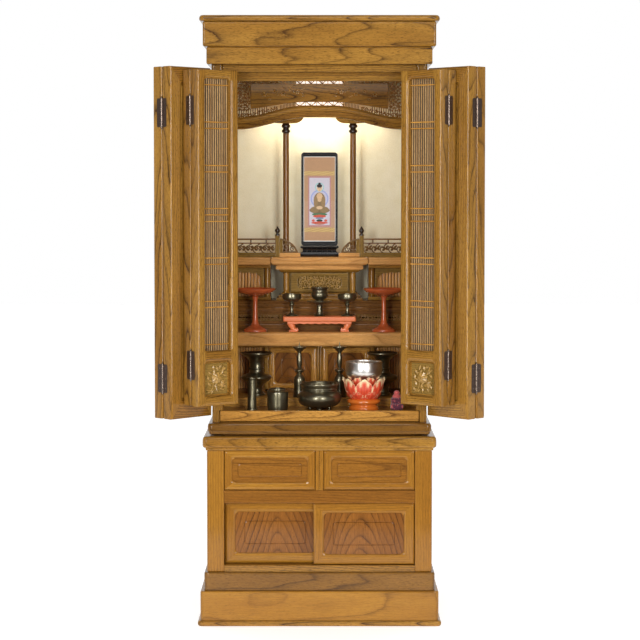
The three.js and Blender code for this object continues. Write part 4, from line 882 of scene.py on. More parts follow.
def doors(side):
    tag = SIDES[side]
    outer, outer_fold, inner, inner_fold = door_frames(side)
    for kind, leaf_shape, part, xf, spans in (
            ("outer", outer_leaf, "hung", outer, (0, 144, -35.5, -0.5)),
            ("outer", outer_leaf, "folding", outer_fold, (0.5, 144.5, 1, 36)),
            ("inner", inner_leaf, "hung", inner, (0, 128.5, 0, 36)),
            ("inner", inner_leaf, "folding", inner_fold, (0.5, 129, -37, -1))):
        p = Piece(f"{kind}_leaf_{tag}_{part}")
        leaf_shape(p, xf, *spans, side)
        p.build(f"{kind}_{tag}_{part}", f"{kind}_door_{tag}_{part}")
    for at, z_outer, z_inner in (("lower", 108, 108), ("upper", 812, 780)):
        for kind, z, inward, hung, fold, end_x, pin in (("outer", z_outer, 1, outer, outer_fold, 144, (144.5, -36.5)),
                                                        ("inner", z_inner, -1, inner, inner_fold, 128.5, (129, 37))):
            p = Piece(f"{kind}_butt_{tag}_{at}")
            hinge(p, hung, end_x, *pin, inward, z)
            p.build(f"{kind}_{tag}_hung", f"{kind}_hinge_{tag}_{at}", slot="hinge_bronze")
            p = Piece(f"{kind}_plate_{tag}_{at}")
            hinge(p, fold, 0.5, 0, 0, inward, z)
            p.build(f"{kind}_{tag}_folding", slot="hinge_bronze")


# ---------------------------------------------------------------- inside
def run(profile, x0=-FIT, x1=FIT):
    """A moulding along X from (y, z) points."""
    return skin([[(x, y, z) for y, z in profile] for x in (x0, x1)])


def chamber():
    step = [(-50, FLOOR_TOP), (-50, 585), (-49, 586.5), (-49.5, 588.5), (-49, 591), (-47, STEP_TOP),
            (BEHIND, STEP_TOP), (BEHIND, FLOOR_TOP)]
    Piece("step_board").add(run(step), "wood_light").build("root", "chamber_step")
    q = Piece("panel_wall")
    low, high, y0, y1 = STEP_TOP + 12, SHELF_0 - 9, 78, 85
    q.board(-FIT, FIT, 84, 90, STEP_TOP, SHELF_0, "z", "wood_dark", 0.3)
    q.board(-FIT, FIT, y0, y1, STEP_TOP, low, "x", "wood_dark")
    q.board(-FIT, FIT, y0 + 1, y1, high, SHELF_0)
    for s in SIDES:
        framed(q, *ends(s, 8, 144), low, high, 79, 86, 17, 15, 15, "wood_light", "wood_arch", "z", 4.0)
        for a, b in ((1.0, 7.5), (145, 158)):
            q.board(*ends(s, a, b), y0, y1, STEP_TOP + 2, SHELF_0 - 4, "z", r=2.5, seg=3)
        for x in spaced(164, FIT - 6, 13):
            q.board(*ends(s, x - 3.4, x + 3.4), 80.5, y1, low, high, "z", "wood_pale", 1.6)
    q.build("root", "chamber_panels")
    rim = quarter(9, 9, 5)
    prof = [(2 + d, SHELF_1 - h) for d, h in rim] + [(2 + d, SHELF_0 + h) for d, h in rim[::-1]]
    # The shelf's pale colour is partly painted light.
    Piece("shelf_board").add(run(prof + [(BEHIND, SHELF_0), (BEHIND, SHELF_1)]), "wood_pale", "x", True) \
        .build("root", "front_shelf")


def altar():
    p = Piece("altar_mouldings")
    steps = ((84, 0), (84, 14), (85.5, 17), (92, 18), (92, 53), (88, 54), (86.2, 57), (86.2, 63), (88, 66), (91, 67),
             (90, 72), (91, 76), (90, 77), (88.3, 79), (88.3, 83), (90, 85), (ALTAR_BACK, 85), (ALTAR_BACK, 0))
    p.add(run([(y, SHELF_1 + h) for y, h in steps]), "wood_dark")
    for x0, x1 in ((-262, -100), (-92, 92), (100, 262)):
        framed(p, x0, x1, SHELF_1 + 19, SHELF_1 + 53, 89.5, 93, 6, 5, 5, "wood_dark", "wood_olive", depth=2.0)
        carving(p, x0 + 16, x1 - 16, SHELF_1 + 28, SHELF_1 + 44, 89.6, "carved", 9, 0.9, 1.0, 2)
    p.build("root", "altar_base", slot="wood_dark")

    t = Piece("table_pedestal")
    top = [(10, DAIS_LOW), (4, DAIS - 21), (1, DAIS - 16.5), (0, DAIS - 11), (0.8, DAIS - 5), (3.4, DAIS - 1.4),
           (7.5, DAIS)]
    neck = [(16, 944), (14.5, 946), (14.5, 955), (16, 957)]
    taper = [(33, 935.5), (31, 936), (27, 938), (23.5, 941), (22, 944), (22, 945)]
    body = [(40, 870), (40, 936)]
    low = [(16, ALTAR_TOP), (16, 861), (17, 863), (22, 864), (22, 868), (23, 870), (29, 871), (31, 876), (33, 877.5)]
    for profile, corner, mat, figured in ((top, 3, "wood_pale", "ab"), (neck, 2, "wood_pale", False),
                                          (taper, 1, "wood", False), (body, 1, "wood_olive", False),
                                          (low, 1, "wood", False)):
        t.add(course(139, 72, ALTAR_BACK, profile, corner, 3), mat, XY, figured)
    for s in SIDES:
        prof = [(0, 0), (9, 0), (9, 0), (9, 3), (9, 3), (7.4, 5), (8.6, 8), (8.6, 50), (7.4, 53), (9, 55), (9, 58),
                (9, 58), (0, 58)]
        t.add(lathe(prof, s * 95, 107, 877, 24, 2), "wood", "z")
    holes = [rrect(-82, 82, 880, 934, 3, seg=5), rrect(-62, 62, 888, 926, 14, seg=5)[::-1]]
    t.add(pierced(holes, 100, 105, 1.2), "wood_olive")
    carving(t, -60, 60, 890, 924, 102.5, "gilt", 11.5, 1.0, 1.3)
    t.build("root", "altar_table")
    for s in SIDES:
        dais_wing(s)


def dais_wing(s):
    """One side of the dais: its edge, an arched window with slats behind it, and a turned post."""
    w = Piece(f"wing_{SIDES[s]}")
    lo, hi = ends(s, 139.4, FIT)
    rim = quarter(6, 6, 4)
    edge = [(84 + d, DAIS - h) for d, h in rim] + [(84 + d, DAIS_LOW + h) for d, h in rim[::-1]]
    # The dais edge's pale colour is partly painted light.
    w.add(run(edge + [(ALTAR_BACK, DAIS_LOW), (ALTAR_BACK, DAIS)], lo, hi), "wood_pale")
    w.board(lo, hi, 96, 113, 948, 957, r=2)
    a0, a1, top_z, low_z = 162, FIT - 2, 946, 866
    arch = []
    for k in range(25):
        u = k / 24
        bow = 1 - abs(2 * u - 1) ** 4
        arch.append((min(max(a1 + (a0 - a1) * u, a0 + 4), a1 - 4),
                     916 + 20 * bow - 2.2 * abs(math.sin(u * math.pi * 5))))
    outline = [(159, 858), (FIT, 858), (FIT, top_z + 3), (159, top_z + 3)]
    hole = [(a0 + 4, low_z), (a1 - 4, low_z)] + arch
    w.add(pierced([[(s * x, z) for x, z in ring] for ring in (outline, hole)], 112, 121, 1.0), "wood_olive")
    for x in spaced(a0, a1, 12):
        w.board(*ends(s, x - 3.8, x + 3.8), 118, 124, 858, 944, "z", "wood_pale", 1.8)
    w.board(lo, hi, 124, ALTAR_BACK, ALTAR_TOP, 957, "z", "wood_dark", 0.3)
    w.board(lo, hi, 108, 126, ALTAR_TOP, 866, r=2)
    post = [(0, 0), (9, 0), (9, 0), (9, 4), (9, 4), (7, 7), (8.2, 12), (8.2, 78), (7, 83), (9, 86), (9, 90), (9, 90),
            (0, 90)]
    w.add(lathe(post, s * 150, 117, 857, 24, 2), "wood", "z")
    w.build("root", f"dais_wing_{SIDES[s]}")


def railing(s):
    p = Piece(f"balustrade_{SIDES[s]}")
    y, x_in, x_out = 94, 120, FIT - 0.4
    x_end = x_in - 64.5  # the wing's tip

    def bar(x0, x1, z0, z1, t, mat="carved_dark", r=1.2):
        p.board(*ends(s, x0, x1), y - t / 2, y + t / 2, DAIS + z0, DAIS + z1, "x", mat, r)
    bar(x_in, x_out, 0, 7, 11, "wood_olive")
    bar(x_in, x_out, 6, 12.5, 8, "wood_olive")
    bar(x_in, x_out, 48.5, 53, 6.5, "wood_dark", 1.8)
    bar(x_in, x_out, 37.5, 41, 5, "wood_dark", 1.4)
    for x in (152, 196, 240, 266):
        bar(x - 2, x + 2, 40, 50, 5)
    pitch = (x_out - x_in - 8) / 6
    for x in spaced(x_in + 8, x_out, 6):
        for hand in (-1, 1):
            p.add(spiral(s * (x + hand * pitch * 0.24), DAIS + 25 + hand * 3, y, 9.5, 1.25, math.pi / 2 * hand, hand,
                         1.7), "carved_dark")
            p.add(leaf(s * x, DAIS + 24, y - 1, math.pi / 2 + hand * 0.9, 14, 7, 2.0, 2), "carved_dark")
            p.add(leaf(s * x, DAIS + 26, y - 1, -math.pi / 2 + hand * 0.9, 13, 7, 2.0, 2), "carved_dark")
    p.add(rounded(*ends(s, x_in - 6.5, x_in + 6.5), y - 6.5, y + 6.5, DAIS, DAIS + 63, 1.6), "wood_olive", "z")
    bud = [(0, 0), (6.5, 0), (8, 2), (8, 2), (5, 4), (3.6, 6), (5, 8), (7.4, 12), (7.2, 15.5), (4.4, 20), (1.4, 24.5),
           (0.4, 26), (0, 26.2)]
    p.add(lathe(bud, s * x_in, y, DAIS + 61.5, 24, 3), "knob", "z")
    p.add(lathe([(0, 0), (7.8, 0), (7.8, 2.6), (0, 2.6)], s * x_in, y, DAIS + 61, 24, 1), "knob", "z")
    bar(x_end - 1, x_in, 0, 12, 12, "wood_pale", 2)
    rim = [(x_in - 7, 51), (x_in - 16, 49), (x_in - 28, 44.5), (x_in - 40, 36.5), (x_in - 50, 26), (x_end + 8, 12)]
    p.add(tube([(s * a, y, DAIS + b) for a, b in curve_through(rim)], 2.6, 8), "carved_dark")
    p.add(tube([(s * (x_in - 8), y, DAIS + 14), (s * (x_end + 8), y, DAIS + 14)], 2.4, 8), "carved_dark")
    stay = [(6, 52), (6, 12), (15, 12), (15, 47)]
    p.add(plate([(s * (x_in - a), DAIS + b) for a, b in stay], y - 3, y + 3), "wood_olive", "z")
    for dx, dz, r in ((25, 28, 11), (42, 22.5, 7.5), (40, 33, 3)):
        p.add(spiral(s * (x_in - dx), DAIS + dz, y, r, 1.3, 0.6, -s, 2.0), "carved_dark")
        p.add(leaf(s * (x_in - dx), DAIS + dz + r * 0.6, y - 1, math.pi / 2, r, r * 0.8, 1.6, 2), "carved_dark")
    p.build("root", f"railing_{SIDES[s]}", slot="carved_wood")


def drop(x):
    """How far the arch lies below its crown at x."""
    t = min(max((abs(x) - 40) / 192, 0), 1)
    return 34 * t * t * (3 - 2 * t)


def arch_run(profile, steps=56):
    """(y, z below the beam's upper edge) points carried along the arch."""
    xs = [-FIT + 2 * FIT * k / steps for k in range(steps + 1)]
    return skin([[(x, y, BEAM_TOP - drop(x) + dz) for y, dz in profile] for x in xs])


def beam():
    p = Piece("arch_beam")
    low = [(131, -31), (116, -31), (113.4, -29.5), (113, -27), (113, -17), (114, -15), (131, -15)]
    top = [(131, -15.5), (112, -15.5), (109.6, -14), (109, -11), (109.6, -5), (111, -1.4), (114, 0), (131, 0)]
    p.add(arch_run(low), "wood", "x", True)
    p.add(arch_run(top), "wood")
    for s in SIDES:
        for k, (x, dz, r) in enumerate(((172, -23, 6.5), (186, -24, 5.0), (160, -22, 4.0))):
            p.add(spiral(s * x, BEAM_TOP - drop(x) + dz, 112.4, r, 1.2, k * 1.3, s, 0.9), "wood_dark")
        for x in range(146, 200, 11):
            p.add(leaf(s * x, BEAM_TOP - drop(x) - 25, 113.2, 0.5 if s > 0 else math.pi - 0.5, 9, 3, 0.9), "wood_dark")
    p.build("root", "arched_beam")


def transom_board(edge, board_top):
    """The transom's board: a straight top, a curved foot, and sprays of blossom and twigs cut through it."""
    foot_z = [(x, BEAM_TOP + 13 - drop(x) * 0.62) for x in (-edge + 2 * edge * k / 28 for k in range(29))]
    rings = [[(edge, board_top - 3), (edge - 3, board_top), (-edge + 3, board_top), (-edge, board_top - 3)] + foot_z]
    flowers = (158, 1443, 7.5), (128, 1452, 6), (104, 1446, 7), (84, 1458, 6.2), (63, 1450, 6.5), (142, 1430, 4.5)
    twigs = ((150, 1440, 134, 1436, 1.0), (121, 1443, 112, 1441, 1.3), (96, 1441, 80, 1435, 1.5),
             (76, 1452, 70, 1447, 1.2), (56, 1456, 40, 1462, 2.0), (51, 1447, 42, 1444, 1.3),
             (96, 1459, 108, 1466, 1.2), (74, 1467, 64, 1471, 1.1), (50, 1438, 38, 1440, 1.3))
    for s in SIDES:
        cuts = []
        for bx, bz, r in flowers:
            for a in around(5, math.pi / 2):
                cx, cz = bx + r * 0.66 * math.cos(a), bz + r * 0.66 * math.sin(a)
                cuts.append([(cx + r * 0.36 * math.cos(t), cz + r * 0.36 * math.sin(t)) for t in around(6)])
        for ax, az, bx, bz, w in twigs:
            d = Vector((bx - ax, bz - az)).normalized()
            n = Vector((-d.y, d.x)) * w
            cuts.append([(ax, az), (ax + n.x + d.x, az + n.y + d.y), (bx, bz), (ax - n.x + d.x, az - n.y + d.y)])
        rings += [[(s * a, b) for a, b in cut] for cut in cuts]
    return moulded(rings, 115, 125, [(0.3, 0.3, 1)])


def transom():
    p = Piece("openwork_transom")
    y0, y1, edge, top, board_top = 118, 126, 196, CEILING - 0.4, BEAM_TOP + 65

    def low(x):
        return BEAM_TOP - drop(x)
    # rails that hold the openwork
    p.board(-FIT, FIT, y0, y1, top - 5, top, r=0.8)
    p.add(arch_run([(y0, 0.3), (y0, 3.6), (y1, 3.6), (y1, 0.3)]), "wood")
    for s in SIDES:
        p.board(*ends(s, FIT, FIT - 4), y0, y1, BEAM_TOP - 33, top, "z", r=0.8)
    p.add(transom_board(edge, board_top), "wood", "x", True)
    # fret in the middle, bars beside it, foliage at the ends
    for zlo, zhi in ((lambda x: board_top - 0.5, lambda x: top - 4), (lambda x: low(x) + 2, lambda x: low(x) + 15)):
        n = 9
        for k in range(n):
            x0 = -72 + 144 * k / n
            x1 = x0 + 144 / n
            a, b = (zlo(x0), zhi(x1)) if k % 2 else (zhi(x0), zlo(x1))
            p.add(tube([(x0, 122, a), (x1, 122, b)], 1.3, 5), "carved")
            p.add(tube([(x0, 122, zlo(x0)), (x0, 122, zhi(x0))], 0.9, 5), "carved")
            p.add(leaf((x0 + x1) / 2, (zlo(x0) + zhi(x0)) / 2, 121, 0.6 if k % 2 else -0.6, 8, 4, 1.2, 2), "carved")
        for s in SIDES:
            for k in range(10):
                x = s * (74 + 4.2 * k)
                p.board(x - 0.9, x + 0.9, 120, 124, zlo(x), zhi(x), "z", "wood_dark", 0.2, seg=1)
            for k, x in enumerate(spaced(*ends(s, 118, FIT - 6), 12)):
                mid, r = (zlo(x) + zhi(x)) / 2, (zhi(x) - zlo(x)) / 2
                p.add(spiral(x, mid, 121.5, r, 1.2, k * 1.9, 1 if k % 2 else -1, 1.5), "carved")
                for a in (0.6, 2.5, 4.4):
                    p.add(leaf(x, mid, 120.5, a + k, r * 1.15, r * 0.7, 1.4, 2), "carved")
    for s in SIDES:
        carving(p, *ends(s, edge + 4, FIT - 6), BEAM_TOP - 12, board_top - 2, 121.5, "carved", 13, 1.05, 1.6, 4)
        for x in spaced(*ends(s, edge - 48, FIT - 6), 18):
            p.board(x - 1.0, x + 1.0, 119, 123, low(x) + 1, low(x) + 24, "z", "wood_dark", 0.2, seg=1)
    for zlo, zhi in ((board_top - 2, top), (BEAM_TOP + 1, BEAM_TOP + 16)):
        p.add(rounded(-66, 66, 131, 133, zlo, zhi, 0.4), "glow")
    p.build("root", "transom", slot="wood_dark")


def pillar(s):
    """A turned column with its capital and the scrolled bracket between the capital and the beam."""
    p = Piece(f"column_{SIDES[s]}")
    at, y, knob_high, bracket_high, beam_low = 96, 122, 29, 9.5, BEAM_TOP - 31.4
    x = s * at
    cap = beam_low - drop(at) - bracket_high
    shaft = cap - knob_high - DAIS
    prof = [(0, 0), (10.6, 0), (10.6, 0), (10.6, 4), (9.4, 6), (8.6, 9), (8.6, 9), (8.6, shaft), (8.6, shaft),
            (0, shaft)]
    p.add(lathe(prof, x, y, DAIS, 28, 1), "wood_dark", "z")
    knob = [(0, -1), (7, -1), (7, -1), (9, 1), (12.6, 5), (12.6, 9), (9, 12.5), (8.4, 13.5), (9.4, 15), (13, 19),
            (13, 23), (9.5, 27.5), (11, 29), (11, 29), (0, 29)]
    p.add(lathe(knob, x, y, DAIS + shaft, 28, 3), "knob", "z")
    under = [(127, BEAM_TOP - 31.9 - drop(127)), (121, cap + 0.6), (110, cap), (76, cap), (66, cap + 1),
             (58, cap + 3.6), (51.5, cap + 8), (46.5, cap + 14), (46, BEAM_TOP - 31.9 - drop(46))]
    over = [(a, BEAM_TOP - 31.6 - drop(a)) for a in np.linspace(47, 126, 12)]
    p.add(plate([(s * a, b) for a, b in under + over], 116.5, 130, 1.6), "wood")
    p.build("root", f"pillar_{SIDES[s]}")


def cloth_back():
    lining = rounded(-FIT, FIT, 200, 206, SHELF_1, CEILING - 0.4, 0.5)
    Piece("cloth_lining").add(lining, "cloth", "z").build("root", "gold_cloth_back", slot="gold_cloth")


# ---------------------------------------------------------------- scroll
def inside_ellipse(x, z, cx, cz, rx, rz):
    return ((x - cx) / rx) ** 2 + ((z - cz) / rz) ** 2 <= 1


FIGURE = [(*shape, srgb(*rgb)) for *shape, rgb in (
    (0, 1146, 26, 26, (150, 160, 206)), (0, 1146, 22, 22, (188, 186, 206)), (0, 1179, 13, 13, (120, 190, 190)),
    (0, 1179, 11, 11, (196, 196, 202)), (0, 1113, 29, 10.5, (112, 92, 62)), (-14, 1114, 13, 9, (136, 112, 74)),
    (14, 1114, 13, 9, (136, 112, 74)), (0, 1140, 17, 24, (128, 104, 70)), (0, 1150, 9, 13, (206, 172, 132)),
    (-11, 1136, 6, 17, (146, 118, 78)), (11, 1136, 6, 17, (146, 118, 78)), (0, 1120, 9, 5, (208, 176, 138)),
    (0, 1176, 7.5, 9.5, (212, 180, 142)), (0, 1183, 7.8, 5.2, (24, 24, 30)), (0, 1189, 3.6, 3.4, (24, 24, 30)))]
SEAT = [(*shape, srgb(*rgb)) for *shape, rgb in (
    (1101, 22, 4.6, (74, 118, 82)), (1095.5, 19, 4.2, (206, 84, 62)), (1090, 12, 2.6, (120, 132, 160)),
    (1083, 9, 3.6, (40, 52, 40)), (1076.5, 24, 3.6, (206, 84, 62)), (1073, 14, 2.2, (190, 120, 100)))]


def picture_color(x, z):
    """Colours of the mounted picture: bands of brocade, and a generic seated figure on a lotus seat."""
    if abs(z - 1219) < 6 or abs(z - 1056.5) < 6:
        wave = math.sin(x * 0.55) * math.sin(x * 0.31 + z)
        return srgb(206, 178, 110) if wave > -0.1 else srgb(170, 132, 84)
    if not (-33 < x < 33 and 1066 < z < 1210):
        return srgb(178, 138, 100) if z > 1140 or z < 1050 else srgb(182, 144, 114)
    if not (-29 < x < 29 and 1070 < z < 1206):
        return srgb(150, 92, 112) if math.sin(x * 0.9) * math.sin(z * 0.9) > 0 else srgb(196, 152, 140)
    c = srgb(198, 192, 202)
    for *shape, color in FIGURE:
        if inside_ellipse(x, z, *shape):
            c = color
    if inside_ellipse(x, z, 0, 1176, 7.5, 9.5) and z < 1180:
        if abs(z - 1176.6) < 0.55 and 1.6 < abs(x) < 4.6:
            c = srgb(96, 66, 50)
        if abs(z - 1170.2) < 0.6 and abs(x) < 1.9:
            c = srgb(176, 92, 80)
        if abs(x) < 0.5 and 1172 < z < 1176:
            c = srgb(190, 150, 116)
    if z < 1104:
        for cz, rx, rz, color in SEAT:
            if inside_ellipse(x, z, 0, cz, rx, rz):
                c = color if math.sin(x * 1.15) > -0.75 else tuple(v * 0.5 for v in color)
        if inside_ellipse(abs(x), z, 18, 1083, 4.5, 3.6):
            c = srgb(196, 88, 70)
    return c


def scroll():
    p = Piece("lacquer_stand")
    y0, y1, top, low = 142, 158, 1279, 1011
    ring = [rrect(-52.5, 52.5, low - 1, top, 9, 9, 6), rrect(-46.5, 46.5, low + 6, top - 6, 5, 5, 6)[::-1]]
    p.add(pierced(ring, y0, y1 - 5, 1.0, 2), "black", "z")
    p.add(rounded(-52.5, 52.5, low - 1, top, y1 - 6, y1, 1.0, 9, 3, "xz"), "black", "z")
    stand = [(3, DAIS), (1, 981), (0, 983.5), (0, 988), (1.2, 991), (6, 992.5), (8, 995), (8, 1000), (6, 1003),
             (2, 1004.5), (1, 1006), (1, 1009), (3, low)]
    p.add(course(56, 124, 176, stand, 3, 3), "black", XY)
    for s in SIDES:
        for k in range(3):
            p.add(lathe([(0, 0), (1.6, 0.3), (1.2, 1), (0, 1.3)], s * (8 + 14 * k), 131.5, 995, 8, 1), "silver")
    p.build("root", "scroll_stand", slot="black_lacquer")

    q = Piece("mounted_picture")
    half, z0, z1, y, step = 46.1, low + 12, top - 12, y1 - 6.9, 0.7
    nx, nz = int(2 * half / step), int((z1 - z0) / step)
    w = nx + 1
    verts = [(x, y, z) for z in np.linspace(z0 + 0.4, z1 - 0.4, nz + 1)
             for x in np.linspace(-half + 0.4, half - 0.4, w)]
    faces = [(j * w + i, j * w + i + 1, (j + 1) * w + i + 1, (j + 1) * w + i) for j in range(nz) for i in range(nx)]
    border = grid_border(nx, nz, False)
    n0, m = len(verts), len(border)
    verts += [(verts[k][0], y + 1.5, verts[k][2]) for k in border]
    faces += [(border[k], border[(k + 1) % m], n0 + (k + 1) % m, n0 + k) for k in range(m)]
    faces.append(tuple(n0 + k for k in range(m)))
    q.add((verts, faces, None), "scroll", "z", tint=lambda v: picture_color(v[0], v[2]))
    for x0, x1, a, b in ((-half, -44.3, z0, z1), (44.3, half, z0, z1), (-half, half, z0, z0 + 1.8),
                         (-half, half, z1 - 1.8, z1)):
        q.board(x0, x1, y - 0.4, y + 0.4, a, b, "z", "mount", 0.15, seg=1)
    q.build("root", "scroll_picture", slot="scroll_cloth")


def grid_border(nu, nv, along_first):
    """Indices round the rim of a grid of nu by nv cells, along its first row first, or up its first column."""
    n = nu + 1
    low, high = [i for i in range(n)], [nv * n + i for i in range(n)]
    left, right = [j * n for j in range(nv + 1)], [j * n + nu for j in range(nv + 1)]
    if along_first:
        return low + right[1:] + high[-2::-1] + left[-2:0:-1]
    return left + high[1:] + right[-2::-1] + low[-2:0:-1]


# ---------------------------------------------------------------- furnishings
def turned(name, node, profile, x, y, z, seg, smooth, mat="bronze", slot="bronze"):
    """One turned piece standing at a place."""
    Piece(name).add(lathe(profile, x, y, z, seg, smooth), mat).build("root", node, slot=slot)


def upper_furnishings():
    z, y, under = SHELF_1, 42, 29
    p = Piece("low_table")
    p.add(rounded(-103, 103, y - 33, y + 33, z + under, z + 44, 4.2, 6, 4), "vermilion")
    for front in (y - 28, y + 24):
        xs = [90 - 4.5 * k for k in range(41)]
        waves = [(xs[k], z + under - 4.5 - 2.2 * abs(math.cos(k * math.pi / 5))) for k in range(41)]
        apron = [(-90, z + under + 1), (90, z + under + 1)] + waves
        p.add(plate(apron[::-1], front, front + 4, 0.6), "vermilion")
    for sx in SIDES:
        for sy in SIDES:
            cx, ya = sx * 73, y + sy * 19
            path = [(cx + sx * a, ya, z + b) for a, b in ((9, 31), (8, 22), (3, 13), (2, 8), (-6, 4.6), (-12, 6.5))]
            p.add(tube(curve_through(path), [10.5 - 0.34 * k for k in range(21)], 12, 0.62), "vermilion")
            p.add(rounded(cx - 14, cx + 10, ya - 5, ya + 5, z, z + 4.5, 1.4), "vermilion")
    p.build("root", "offering_table", slot="vermilion_lacquer")

    tazza = [(0, 0), (32, 0), (33, 1.2), (33, 3.5), (30, 8), (20, 13.5), (11.5, 21), (7.6, 34), (6.4, 55), (6.6, 88),
             (8.5, 96), (12, 100), (30, 105), (50, 112), (58.5, 119.5), (59.5, 121.4), (58.1, 122), (56.5, 121),
             (48, 115.5), (28, 112), (0, 111)]
    stem_cup = [(0, 0), (16.5, 0), (17, 1), (15.5, 3), (8, 7), (5, 13), (4.2, 22), (5.4, 27), (7.6, 31), (7.6, 33),
                (5, 36), (6, 38.5), (14, 41.5), (22, 45), (26, 50), (27, 55), (26.4, 61), (26.8, 62.6), (25.6, 63),
                (24.4, 62), (24, 57), (23, 51), (16, 46.5), (0, 45)]
    bowl = [(0, 0), (15, 0), (15.4, 1.4), (12, 5), (9.4, 12), (8.6, 22), (9.4, 32), (16, 37), (30, 40), (35, 41.2),
            (35.4, 42.4), (34, 43), (20, 43), (12, 44), (12, 46), (18, 50), (23, 57), (23.2, 64), (20.6, 70),
            (21.4, 75), (24.4, 79), (24.5, 80.6), (23.4, 81), (20.6, 78), (18.6, 72), (19.8, 64), (19, 57),
            (12, 53.5), (0, 53)]
    for s, tag in SIDES.items():
        turned(f"tazza_turned_{tag}", f"tazza_{tag}", tazza, s * 182, ROW, z, 56, 4, "red", "red_lacquer")
        turned(f"stem_cup_turned_{tag}", f"stem_cup_{tag}", stem_cup, s * 78.5, ROW, z + 44, 48, 4)
    turned("footed_bowl", "rice_bowl", bowl, 0, ROW, z + 44, 56, 4)


def lower_furnishings():
    vase = [(0, 0), (24.5, 0), (25, 1.5), (24, 5), (19, 9), (16.6, 17), (18, 26), (27, 36), (39, 43.5), (43, 49),
            (43, 53), (38, 57), (27, 60.5), (21, 65), (19.6, 72), (19.6, 72), (21.6, 73.5), (21.6, 77), (19.4, 78.5),
            (19.4, 78.5), (18.6, 88), (21.5, 99), (30, 108), (39, 113.5), (41.5, 116), (43, 118), (42.6, 120.6),
            (41, 121), (36, 118.5), (28, 112), (20, 103), (15.5, 92), (14.6, 78), (13, 62), (0, 56)]
    candlestick = [(0, 0), (17.6, 0), (18, 1.5), (17, 8), (15.4, 26), (16, 44), (14.4, 54), (9, 62), (5.6, 65),
                   (5.6, 65), (8, 68), (13.2, 72.5), (13.2, 75.5), (8, 79.5), (5.2, 83), (5.2, 83), (7, 93),
                   (7.6, 104), (6.2, 118), (4.6, 124), (4.6, 124), (7, 127), (13, 133), (18.6, 138), (19.5, 140.6),
                   (19, 142), (14, 139.6), (6, 137), (2.2, 137.4), (1.9, 142), (1.2, 149), (0, 156)]
    for s, tag in SIDES.items():
        turned(f"vase_turned_{tag}", f"vase_{tag}", vase, s * 178, 20, STEP_TOP, 56, 3)
        turned(f"candlestick_turned_{tag}", f"candlestick_{tag}", candlestick, s * 56, -30, STEP_TOP, 40, 3)
    y = -118
    f = Piece("censer_cast")
    prof = [(0, 7), (26, 7), (40, 8.5), (51, 14), (58.5, 23), (60.8, 32), (59.5, 40), (54, 47), (49, 51), (48, 53.5),
            (50, 56), (50, 56), (50.6, 58.5), (49, 61), (49, 61), (51, 64.5), (53.6, 68), (53.8, 71), (52.6, 72.7),
            (50.4, 73), (47.6, 71.6), (45.4, 66), (43.6, 58), (43.6, 52), (50, 44), (55.2, 33), (50, 22), (40, 15),
            (24, 13.6), (0, 13.5)]
    f.add(lathe(prof, 0, y, FLOOR_TOP, 64, 3), "bronze")
    for a in around(3, -math.pi / 2):
        foot_prof = [(0, 0), (5, 0), (6.2, 1.6), (5.6, 4), (7.6, 8), (9, 12), (0, 14)]
        f.add(lathe(foot_prof, 30.5 * math.cos(a), y + 30.5 * math.sin(a), FLOOR_TOP, 20, 3), "bronze")
    f.add(lathe([(0, 19), (44, 19), (48, 22), (40, 25), (0, 27)], 0, y, FLOOR_TOP, 40, 2), "ash")
    f.build("root", "censer", slot="bronze")

    tube_prof = [(0, 0), (14.6, 0), (15, 1), (14.6, 3.6), (13, 6.4), (12.6, 10), (12.4, 81), (13.4, 84), (14.6, 86.4),
                 (15, 89), (14.2, 90), (12.6, 89.2), (11.6, 86), (11, 78), (10.6, 8), (0, 7)]
    turned("incense_tube", "incense_holder", tube_prof, -185, -140, FLOOR_TOP, 40, 3)
    pot = [(0, 0), (26, 0), (27.6, 1.4), (28.4, 8), (29.2, 30), (29.5, 46), (28.6, 51), (24.6, 54.4), (22.6, 56.4),
           (22.6, 58.6), (21, 60), (18.8, 59.4), (19.2, 55), (23.6, 50), (25.2, 44), (24.4, 26), (23.6, 8), (20, 6.5),
           (0, 6.4)]
    turned("lidless_pot", "match_pot", pot, -115, -140, FLOOR_TOP, 48, 3)
    bell_and_lotus(122, y, FLOOR_TOP)
    cushion(212, -140, FLOOR_TOP)


def petal_shape(x, y, z, turn, r, low, high, width, lean, curl):
    """A thick lotus petal, cupped and ribbed, with its tip and sides rolled outwards."""
    nu, nv = 14, 12
    rows = []
    for layer in (0, 1):
        for j in range(nv + 1):
            t = j / nv
            half = width * 0.5 * math.sin(math.pi * (0.17 + 0.79 * t)) ** 0.62
            for i in range(nu + 1):
                u = 2 * i / nu - 1
                rad = r + lean * math.sin(math.pi * t * 0.72) + curl * 9 * max(0, t - 0.68) ** 2
                rad += 7.56 * max(0, abs(u) - 0.72) * (0.4 + t) - 5.0 * u * u * (1 - 0.5 * t)
                rad += 0.9 * math.cos(3 * math.pi * u) * math.sin(math.pi * t) - (2.6 if layer else 0)
                ang = turn + u * half / r
                zz = low + (high - low) * t - 6 * u * u * t + 0.9 * math.sin(5 * math.pi * t) * abs(u)
                rows.append((x + rad * math.cos(ang), y + rad * math.sin(ang), z + zz))
    n, size = nu + 1, (nu + 1) * (nv + 1)
    faces = []
    for j in range(nv):
        for a in range(j * n, j * n + nu):
            faces.append((a, a + 1, a + n + 1, a + n))
            faces.append((size + a, size + a + n, size + a + n + 1, size + a + 1))
    edge = grid_border(nu, nv, True)
    for a, b in zip(edge, edge[1:] + edge[:1]):
        faces.append((b, a, size + a, size + b))
    return rows, faces, None


